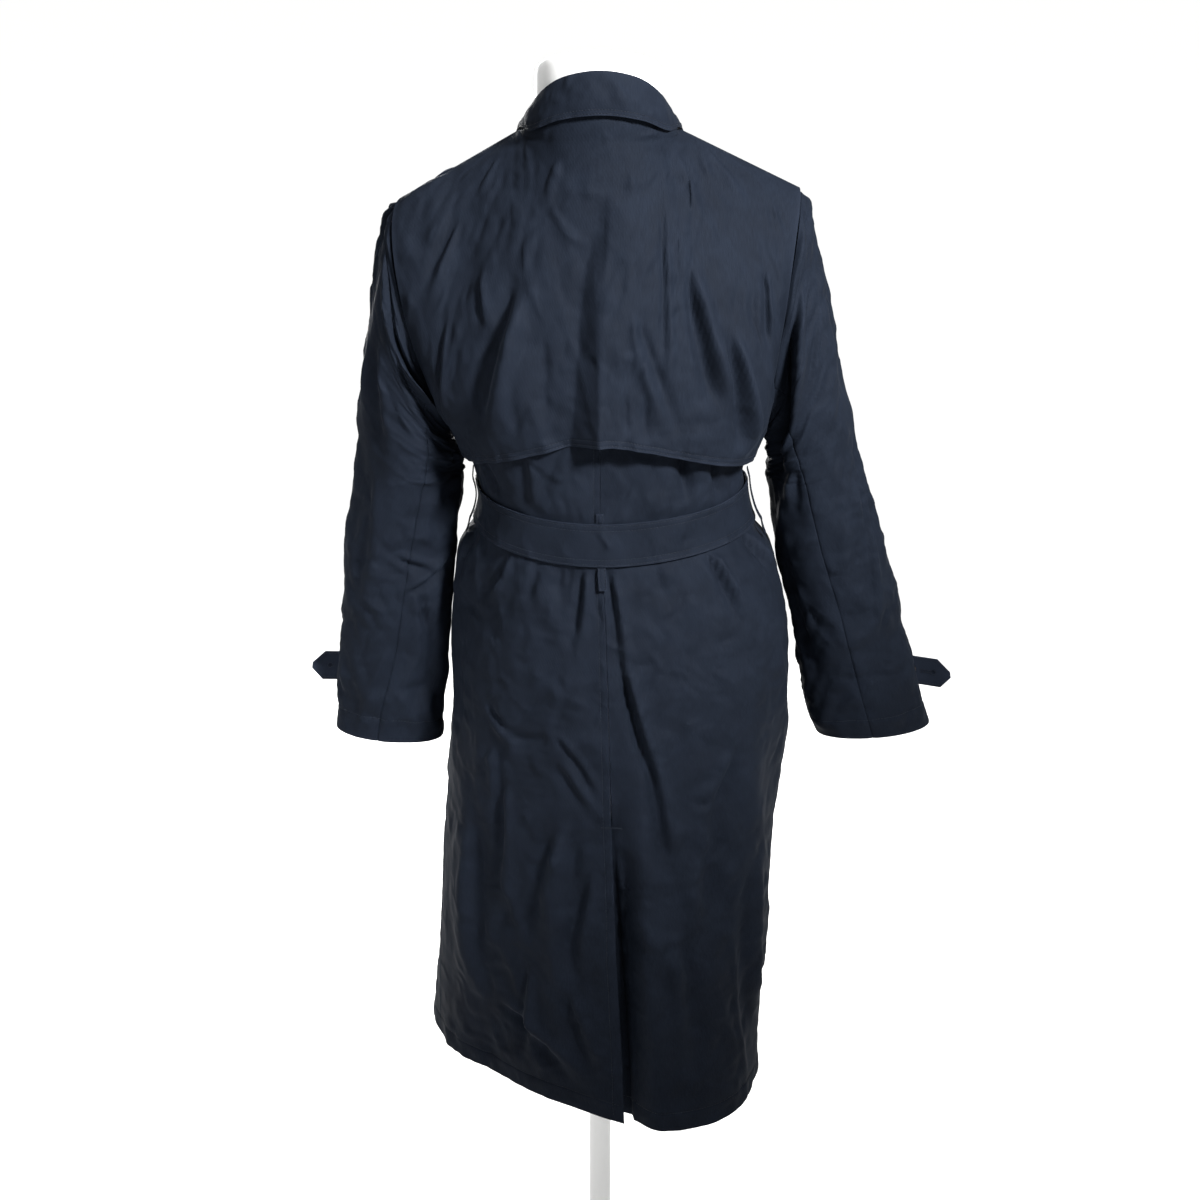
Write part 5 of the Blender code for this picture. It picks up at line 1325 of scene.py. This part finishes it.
SEAM_DEGREES = math.degrees(SEAM / 2 / 0.045)
TUCK_DEGREES = TUCK / ROUND_REACH
for side, back in (("left", back_left), ("right", back_right)):
    v_rows = edged(0, 2, ARM_REACH, PITCH / ARM_REACH, 2 - CUFF_TURNING + SEWN_STEPS / ARM_REACH)
    for part, degrees in (("top_sleeve", 230), ("under_sleeve", 125)):
        wide = degrees * ROUND_REACH
        ends = (EDGE_STEPS if part == "top_sleeve" else TUCK_STEPS) / wide
        share = spread(np.concatenate([ends, 1 - ends]), PITCH / wide)
        v = v_rows[:, None] + 0 * share
        if part == "top_sleeve":
            first = FRONT_SEAM - 360 + SEAM_DEGREES
            last = back_seam(side, v) - SEAM_DEGREES
        else:
            first = back_seam(side, v) - TUCK_DEGREES
            last = FRONT_SEAM + TUCK_DEGREES
        angle = first + (last - first) * share
        out = sleeve_out(side, angle, v)
        if part == "under_sleeve":
            out = out + tucked(np.minimum(angle - back_seam(side, v), FRONT_SEAM - angle) * ROUND_REACH)
        from_cuff = (2 - v) * ARM_REACH
        edge = np.minimum.reduce([share * wide + 0 * v, (1 - share) * wide + 0 * v, v * ARM_REACH, from_cuff])
        # The cuff's edge is rubbed paler; raised sleeve cloth is painted paler too, a painted highlight.
        made = add_shell(
            part + "_cloth_" + side,
            sleeve_point(side, angle, v),
            sleeve_normal(side, angle, v),
            (out, out - CLOTH),
            rolled(edge),
            (angle * ROUND_REACH, v * ARM_REACH),
            np.clip(0.10 + 0.4 * np.exp(-from_cuff / RUB_REACH) + 14 * np.clip(out, 0, 0.006), 0, 1),
        )
        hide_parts(part + "_" + side)
    round_cuff = np.arange(FRONT_SEAM - 359, FRONT_SEAM - 1, 3.0)
    v = np.full_like(round_cuff, 2 - CUFF_TURNING)
    normal = sleeve_normal(side, round_cuff, v)
    lift = sleeve_out(side, round_cuff, v) + 0.0001
    cuff_line = (sleeve_point(side, round_cuff, v) + normal * lift[:, None], normal)
    cuff_stitches = add_stitches("stitches_cuff_" + side, [cuff_line])

# ---- Cuff tabs ----
# A pointed strap of doubled gabardine, sewn into the sleeve's front seam and edge-stitched all round. It has
# come away from its button, so its point and keyhole buttonhole stand off sideways.
TAB_WIDTH = 0.032
TAB_V = {"left": 1.815, "right": 1.825}
TAB_LEAVE = -62.0  # angle round the cuff at which the tab leaves the sleeve
TAB_FREE = {"left": 0.067, "right": 0.078}
TAB_RISE = {"left": 0.15, "right": 0.01}
TAB_TWIST = 0.5  # how far its top edge leans away, as a slope
TAB_THICK = 0.0022
TAB_POINT = 0.014  # length of the pointed end, whose tip is blunt
TAB_STITCH = 0.0028
TAB_PITCH = 0.0016
TAB_EYE = 0.0030  # radius of the worked round end of the buttonhole
EYE_FROM_TIP = 0.021
EYE_DEPTH = 0.0008
for side, sign in SIDE_SIGN.items():
    angles = np.linspace(FRONT_SEAM - 360 + 4, TAB_LEAVE, 24)
    v = np.full(len(angles), TAB_V[side])
    lift = np.maximum(sleeve_out(side, angles, v), -0.0004) + 0.0017
    line = sleeve_point(side, angles, v) + sleeve_normal(side, angles, v) * lift[:, None]
    heading = line[-1] - line[-2]
    heading[2] = TAB_RISE[side] * np.linalg.norm(heading)
    heading = unit(heading)
    free = line[-1] + heading * (np.linspace(0.02, 1.0, 60) * TAB_FREE[side])[:, None]
    line = np.concatenate([line, free])
    reached = np.concatenate([[0], np.cumsum(np.linalg.norm(np.diff(line, axis=0), axis=1))])
    tip = reached[-1]
    lengths = edged(0, tip, 1, TAB_PITCH, [tip - TAB_POINT])
    line = along_line(lengths, reached, line)
    half = TAB_WIDTH / 2 * np.clip(0.2 + 0.8 * (tip - lengths) / TAB_POINT, 0.2, 1)
    lean = math.radians(SLEEVES[side][-1].lean)
    # Past the sleeve the strap twists back a little, so that its face is turned up.
    twist = TAB_TWIST * ease((lengths - (tip - TAB_FREE[side])) / 0.025)
    upward = unit(stack(-sign * math.sin(lean), -twist, math.cos(lean)))
    across = edged(0, TAB_WIDTH, 1, TAB_PITCH, [TAB_STITCH, TAB_WIDTH - TAB_STITCH])[:, None]
    across = across / (TAB_WIDTH / 2) - 1
    face = line + upward * (across * half)[..., None]
    normal = unit(np.cross(np.gradient(line, axis=0), upward) * sign)
    off = np.minimum((1 - np.abs(across)) * half, np.minimum(lengths, (tip - lengths) * 0.72))
    curl = 0.0012 * np.sin(lengths * 70) * ease(lengths / 0.05)
    # The buttonhole's round eye is drawn tight by its thread, and sinks in on both faces.
    eye_at = np.searchsorted(lengths, tip - EYE_FROM_TIP)
    from_eye = np.hypot(lengths - lengths[eye_at], across * half)
    eye_pit = np.exp(-((from_eye / (TAB_EYE * 0.7)) ** 4))
    # The whole tab is painted much paler than the sleeve: painted light for a strap that the lamps barely
    # reach. Its edges are rubbed paler still, and its sunken buttonhole eye is left out of the painted light,
    # so it shows darker as painted shade.
    tab = add_shell(
        "cuff_tab_cloth_" + side,
        face,
        normal,
        (TAB_THICK + stitched(off - TAB_STITCH) + curl - EYE_DEPTH * eye_pit, curl + EYE_DEPTH * eye_pit),
        rolled(off) * 1.25,
        (lengths, across * TAB_WIDTH / 2),
        np.clip(0.80 + 0.2 * np.exp(-off / 0.0020), 0, 1) * (1 - eye_pit),
    )
    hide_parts("cuff_tab_" + side)
    # Keyhole buttonhole: a round eye towards the point and a slit back from it, whipped over with thread. It
    # and the edge stitching go right through, so both faces show them.
    last = np.searchsorted(lengths, tip - TAB_STITCH * 1.9)
    ring = np.linspace(0, 2 * math.pi, 26)[:, None]
    slit = np.linspace(0.0025, 0.0165, 8)[:, None]
    stitch_off = np.clip(1 - TAB_STITCH / np.maximum(half, 1e-4), 0.0, 1) * half
    lines = []
    for face_side, face_lift in ((1, TAB_THICK), (-1, 0.0)):
        outward = normal * face_side
        for level in (-1, 1):
            row = line + upward * (level * stitch_off)[:, None] + normal * (face_lift + curl)[:, None]
            lines.append((row[3:last], outward[3:last]))
        eye = line[eye_at] + normal[eye_at] * (face_lift + curl[eye_at]) + outward[eye_at] * 0.0002
        rows = [eye + heading * (TAB_EYE * np.cos(ring)) + upward[eye_at] * (TAB_EYE * np.sin(ring))]
        rows += [eye - heading * slit + upward[eye_at] * (0.0011 * level) for level in (-1, 1)]
        lines += [(row, np.broadcast_to(outward[eye_at], row.shape)) for row in rows]
    tab_sewn = add_stitches("stitches_cuff_tab_" + side, lines)

# ---- Belt ----
# One strap of doubled gabardine, 45 mm wide, that goes once round the waist from the buckle and then over its
# own beginning. Two rows of topstitching follow each long edge.
BUCKLE_G = 2.98
BELT_THICK = 0.0022
BELT_LIFT = 0.0020
BELT_PITCH = 0.0030
LAYER_GAP = 0.0009
TAIL = 0.675  # how far the strap's end goes past the buckle, in g
BELT_STITCHES = (0.0022, 0.0075)


def round_point(s, h, out):
    """A point of the waist: s is g, and goes on counting after one round."""
    g = (s + 0.5) % 4 - 0.5
    step = 0.002
    across = cloth_ring(g + step, h) - cloth_ring(g - step, h)
    up = cloth_ring(g, h + step) - cloth_ring(g, h - step)
    normal = unit(np.cross(across, up))
    return cloth_ring(g, h) + normal * np.asarray(out)[..., None], normal


def strap_low(s):
    """Height of the strap's lower edge."""
    return belt_low((s + 0.5) % 4 - 0.5)


def strap_out(s, up):
    """How far the strap's underside stands off the plain surface. up is the height within the strap."""
    over = ease((s - (BUCKLE_G + 4 - 0.28)) / 0.28)
    slack = 0.0005 * rumple(s * REACH, up, 0.05, 91) + 0.00015 * rumple(s * REACH, up, 0.012, 92)
    return BELT_LIFT + over * (BELT_THICK + LAYER_GAP) + slack


belt_end = BUCKLE_G + 4 + TAIL
s = edged(BUCKLE_G, belt_end, REACH, BELT_PITCH / REACH)
sewn_rows = np.array([row + step for row in BELT_STITCHES for step in SEWN_STEPS[1:4]])
up = edged(0, BELT_WIDTH, 1, BELT_PITCH, sewn_rows, BELT_WIDTH - sewn_rows)[:, None]
from_long_edges = np.minimum(up, BELT_WIDTH - up)
from_rim = np.minimum(from_long_edges, np.minimum(s - BUCKLE_G, belt_end - s) * REACH)
relief = sum(stitched(from_long_edges - row) for row in BELT_STITCHES) + pucker(s * REACH, from_rim, 93)
face, normal = round_point(s, strap_low(s) + up, strap_out(s, up) + 0 * up)
wear_and_painted_light = np.clip(0.06 + 0.4 * np.exp(-from_rim / 0.0020) + 0.10 * rumple(s * 8, up * 30, 1.0, 94), 0, 1)
lip = rolled(from_rim) * 1.3
belt = add_shell("belt_cloth", face, normal, (BELT_THICK + relief, 0.0), lip, (s * REACH, up), wear_and_painted_light)
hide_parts("belt")
lines = []
line_s = np.arange(BUCKLE_G + 0.02, belt_end - 0.008, 0.012)
for row in BELT_STITCHES:
    for height in (row, BELT_WIDTH - row):
        lift = strap_out(line_s, height) + BELT_THICK + stitched(0.0) + 0.00016
        lines.append(round_point(line_s, strap_low(line_s) + height, lift))
belt_stitches = add_stitches("stitches_belt", lines)

# ---- Belt loops ----
# Narrow straps folded from gabardine and edge-stitched. The back one lies flat under the belt along the
# centre back seam; the side ones hold the belt, and the right one stands off loosely.
LOOP_HALF = 0.0048
LOOP_THICK = 0.0010
LOOP_STITCH = 0.0016
LOOP_PITCH = 0.0012
LOOP_BEND = np.array([1, 2, 3, 2, 1]) / 9  # rounds the strap's bends
Loop = namedtuple("Loop", "name g heights outs")
low = belt_low(1.0)
high = low + BELT_WIDTH
back_heights = (low - 0.024, low - 0.008, low, high, high + 0.011)
BELT_LOOPS = [Loop("back", 1.0, back_heights, (0.0034, 0.0028, 0.0006, 0.0006, 0.0026))]
over_belt = BELT_LIFT + BELT_THICK + 0.0012
for name, g, slack, foot, head in (
    ("left", 0.03, 0.0005, 0.0002, 0.0006),
    ("right", 1.95, 0.0035, 0.0012, 0.0018),
):
    low = belt_low(g)
    heights = (low - 0.016, low - 0.003, low + BELT_WIDTH + 0.003, low + BELT_WIDTH + 0.014)
    BELT_LOOPS.append(Loop(name, g, heights, (foot, over_belt + slack, over_belt, head)))
for loop in BELT_LOOPS:
    heights = edged(loop.heights[0], loop.heights[-1], 1, LOOP_PITCH)
    out = np.interp(heights, loop.heights, loop.outs)
    out = np.convolve(np.pad(out, 2, mode="edge"), LOOP_BEND, mode="valid")
    across = edged(0, 2 * LOOP_HALF, 1, LOOP_PITCH, [LOOP_STITCH, 2 * LOOP_HALF - LOOP_STITCH])
    off = np.minimum(across, 2 * LOOP_HALF - across)
    off = np.minimum(off, np.minimum(heights - heights[0], heights[-1] - heights)[:, None])
    g = loop.g + (across - LOOP_HALF) / REACH + 0 * heights[:, None]
    h = heights[:, None] + 0 * g
    bent = out[:, None] + stitched(off - LOOP_STITCH) + 0.0004 * ((across - LOOP_HALF) / LOOP_HALF) ** 2
    face, normal = cloth_point(True, g, h), cloth_normal(True, g, h)
    wear_and_painted_light = np.clip(0.20 + 0.5 * np.exp(-off / 0.0015), 0, 1)
    lifts = (bent + LOOP_THICK, bent)
    lip = rolled(off) * 0.6
    made = add_shell("belt_loop_cloth_" + loop.name, face, normal, lifts, lip, (g * REACH, h), wear_and_painted_light)
    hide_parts("belt_loop_" + loop.name)
    lines = []
    for aside in (LOOP_STITCH - LOOP_HALF, LOOP_HALF - LOOP_STITCH):
        column = loop.g + aside / REACH + 0 * heights
        lines.append(body_line(True, column[2:-2], heights[2:-2], out[2:-2] + LOOP_THICK - 0.0001))
    loop_stitches = add_stitches("stitches_belt_loop_" + loop.name, lines)

# ---- Buckle ----
# A flat frame cast from dark resin with a horn effect: rounded corners, softly polished faces, and a prong
# that lies through the strap onto the frame's far side.
horn, horn_shader = new_finish("polished horn-effect resin", "#15120f", 0.24)
horn_shader.inputs["Specular IOR Level"].default_value = 0.5
horn_shader.inputs["Coat Weight"].default_value = 0.25
horn_grain = add_node(
    horn,
    "ShaderNodeTexWave",
    {"Scale": 60.0, "Distortion": 7.0, "Detail": 3.0, "Detail Scale": 1.4},
    {"Vector": add_node(horn, "ShaderNodeTexCoord", {}, {}).outputs["Object"]},
).outputs["Fac"]
horn_tone = add_node(horn, "ShaderNodeValToRGB", {}, {"Fac": horn_grain})
horn_tone.color_ramp.elements[0].color = linear("#0c0b0b")
horn_tone.color_ramp.elements[1].color = linear("#2e241c")
feed(horn_shader, "Base Color", horn_tone.outputs["Color"])
feed(horn_shader, "Roughness", gloss_between(horn, 0.20, 0.34, horn_grain))


def polish(made, width, segments, sharpest):
    """Rounds an object's edges and shades it smooth across them. sharpest is in degrees."""
    rounded = made.modifiers.new("polished edges", "BEVEL")
    rounded.width = width
    rounded.segments = segments
    rounded.limit_method = "ANGLE"
    rounded.angle_limit = math.radians(sharpest)
    bpy.ops.object.modifier_apply(modifier=rounded.name)
    bpy.ops.object.shade_smooth_by_angle(angle=math.radians(40))


BUCKLE_BAR = 0.0075
BUCKLE_CORNER = 0.007
buckle_low, buckle_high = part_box("buckle")
middle = [(buckle_low[k] + buckle_high[k]) / 2 for k in range(3)]
wide = buckle_high[0] - buckle_low[0]
tall = buckle_high[2] - buckle_low[2]
thick = buckle_high[1] - buckle_low[1]
bpy.ops.mesh.primitive_cube_add(size=1, location=middle)
buckle = bpy.context.object
buckle.name = "buckle_frame"
buckle.scale = (wide, thick, tall)
bpy.ops.object.transform_apply(location=True, rotation=True, scale=True)
bpy.ops.object.mode_set(mode="EDIT")
bpy.ops.mesh.select_mode(type="FACE")
bpy.ops.mesh.select_all(action="DESELECT")
bpy.ops.object.mode_set(mode="OBJECT")
for face in buckle.data.polygons:
    face.select = abs(face.normal.y) > 0.9
bpy.ops.object.mode_set(mode="EDIT")
bpy.ops.mesh.inset(thickness=BUCKLE_BAR, depth=0)
bpy.ops.mesh.bridge_edge_loops()
bpy.ops.mesh.select_all(action="SELECT")
bpy.ops.mesh.normals_make_consistent(inside=False)
bpy.ops.mesh.select_all(action="DESELECT")
bpy.ops.object.mode_set(mode="OBJECT")
for edge in buckle.data.edges:
    first, second = (buckle.data.vertices[k].co for k in edge.vertices)
    outer_corner = abs(first.x - middle[0]) > wide / 2 - 0.001
    edge.select = abs(first.y - second.y) > thick * 0.9 and outer_corner
bpy.ops.object.mode_set(mode="EDIT")
bpy.ops.mesh.select_mode(type="EDGE")
bpy.ops.mesh.bevel(offset=BUCKLE_CORNER, segments=8, affect="EDGES")
bpy.ops.object.mode_set(mode="OBJECT")
polish(buckle, 0.0011, 4, 40)
buckle.data.materials.append(horn)
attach(buckle, "root")
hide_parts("buckle")

PRONG_RADIUS = 0.0015
PRONG_LENGTH = 0.034
prong_place = (middle[0] + 0.006, buckle_low[1] - PRONG_RADIUS * 0.5, middle[2])
level = (0, math.pi / 2, 0)
bpy.ops.mesh.primitive_cylinder_add(
    vertices=16, radius=PRONG_RADIUS, depth=PRONG_LENGTH, location=prong_place, rotation=level
)
prong = bpy.context.object
prong.name = "buckle_prong"
bpy.ops.object.transform_apply(location=True, rotation=True, scale=True)
polish(prong, 0.0012, 3, 30)
prong.data.materials.append(horn)
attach(prong, "root")

# ---- Buttons ----
# Dished four-hole buttons of the same resin, turned on a lathe and polished, sewn on with crossed thread: two
# columns of four on the right front, and a smaller one on each sleeve where the cuff tab would reach.
ButtonProfile = namedtuple("ButtonProfile", "radius thick hole spacing")
FRONT_BUTTON = ButtonProfile(0.0115, 0.0036, 0.00095, 0.0021)
CUFF_BUTTON = ButtonProfile(0.0075, 0.0028, 0.00080, 0.0015)


def add_button(name, shape):
    """A dished button with four holes, face up along +Z with its back on the origin."""
    bpy.ops.mesh.primitive_circle_add(vertices=40, radius=shape.radius * 0.80, fill_type="NGON")
    made = bpy.context.object
    made.name = name
    bpy.ops.object.mode_set(mode="EDIT")
    rings = ((1.00, 0.30), (1.02, 0.52), (1.00, 0.74), (0.95, 0.93), (0.88, 1.00), (0.80, 0.97), (0.70, 0.80))
    radius, level = 0.80, 0.0
    for wide, up in rings + ((0.58, 0.70),):
        bpy.ops.mesh.extrude_region_move(TRANSFORM_OT_translate={"value": (0, 0, (up - level) * shape.thick)})
        growth = wide / radius
        bpy.ops.transform.resize(value=(growth, growth, 1), center_override=(0, 0, up * shape.thick))
        radius, level = wide, up
    bpy.ops.mesh.select_all(action="SELECT")
    bpy.ops.mesh.normals_make_consistent(inside=False)
    bpy.ops.mesh.select_all(action="DESELECT")
    bpy.ops.object.mode_set(mode="OBJECT")
    aside = shape.spacing / math.sqrt(2)
    for along, up in ((1, 1), (-1, 1), (-1, -1), (1, -1)):
        spot = (along * aside, up * aside, shape.thick / 2)
        deep = shape.thick * 3
        bpy.ops.mesh.primitive_cylinder_add(vertices=12, radius=shape.hole, depth=deep, location=spot)
        drill = bpy.context.object
        bored = made.modifiers.new("hole", "BOOLEAN")
        bored.object = drill
        bored.solver = "EXACT"
        bpy.context.view_layer.objects.active = made
        bpy.ops.object.modifier_apply(modifier=bored.name)
        bpy.data.objects.remove(drill)
    made.select_set(True)
    bpy.ops.object.shade_smooth_by_angle(angle=math.radians(45))
    made.data.materials.append(horn)
    return made


def add_button_thread(name, shape):
    """Crossed thread over a button's four holes: two strands each way, lying in the dish."""
    strands = []
    for turn, level in ((45, 0.0), (135, 0.0003)):
        heading = math.radians(turn)
        for aside in (-0.0004, 0.0004):
            spot = (-math.sin(heading) * aside, math.cos(heading) * aside, shape.thick * 0.74 + level)
            lying = (0, math.pi / 2, heading)
            bpy.ops.mesh.primitive_cylinder_add(
                vertices=8, radius=0.0004, depth=2 * shape.spacing, location=spot, rotation=lying
            )
            strands.append(bpy.context.object)
    for strand in strands:
        strand.select_set(True)
    bpy.ops.object.join()
    made = bpy.context.object
    made.name = name
    bpy.ops.object.transform_apply(location=True, rotation=True, scale=True)
    bpy.ops.object.shade_smooth_by_angle(angle=math.radians(50))
    made.data.materials.append(thread)
    return made


def placed(source, name, spot, axis):
    """A copy of an object with its mesh moved to a spot and its +Z turned along an axis."""
    up = unit(np.asarray(axis, float))
    across = unit(np.cross([0, 0, 1.0], up))
    matrix = np.stack([across, np.cross(up, across), up], 1)
    made = source.copy()
    made.data = source.data.copy()
    made.name = name
    flat = np.empty(len(made.data.vertices) * 3)
    made.data.vertices.foreach_get("co", flat)
    moved = flat.reshape(-1, 3) @ matrix.T + spot
    made.data.vertices.foreach_set("co", moved.ravel())
    made.data.update()
    bpy.context.scene.collection.objects.link(made)
    return made


FRONT_SPOTS = [(g, h) for h in (1.150, 0.9886, 0.8908, 0.7929) for g in (2.6904, 3.311)]
patterns = {}
for kind, shape in (("front", FRONT_BUTTON), ("cuff", CUFF_BUTTON)):
    button = add_button(kind + "_button_pattern", shape)
    patterns[kind] = (button, add_button_thread(kind + "_thread_pattern", shape))
button_places = []
for number, (g, h) in enumerate(FRONT_SPOTS, 1):
    g, h = np.array([g]), np.array([h])
    normal = cloth_normal(False, g, h)[0]
    spot = moved_out(False, g, h, np.maximum(body_out(g, h), 0) + 0.0006)[0]
    button_places.append(("button_%d" % number, "front", spot, normal))
for side in ("left", "right"):
    angle, v = np.array([-28.0]), np.array([TAB_V[side]])
    normal = sleeve_normal(side, angle, v)[0]
    lift = np.maximum(sleeve_out(side, angle, v), 0)[0] + 0.0006
    spot = (sleeve_point(side, angle, v) + normal * lift)[0]
    button_places.append(("cuff_button_" + side, "cuff", spot, normal))
for node, kind, spot, normal in button_places:
    button = placed(patterns[kind][0], node + "_resin", spot, normal)
    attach(button, "root")
    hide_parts(node)
    cross = placed(patterns[kind][1], node + "_thread", spot, normal)
    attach(cross, "root")
for pair in patterns.values():
    for pattern in pair:
        bpy.data.objects.remove(pattern)

# ---- Buttonholes ----
# Level keyhole buttonholes worked with thread near the right front's edge. The buttons fill them, so only the
# last 5 mm of each shows past its button.
HOLE_LENGTH = 0.0165
lines = []
for g, h in FRONT_SPOTS[1::2]:
    line_g = np.linspace(g + 0.004 / REACH, g + HOLE_LENGTH / REACH, 8)
    turn = np.linspace(-math.pi / 2, math.pi / 2, 9)
    rows = [(line_g, np.full(8, h + level)) for level in (-0.0011, 0.0011)]
    rows.append((g + (HOLE_LENGTH + 0.0024 * np.cos(turn)) / REACH, h + 0.0022 * np.sin(turn)))
    lines += [body_line(False, row_g, row_h, body_out(row_g, row_h)) for row_g, row_h in rows]
add_stitches("worked_buttonholes", lines)
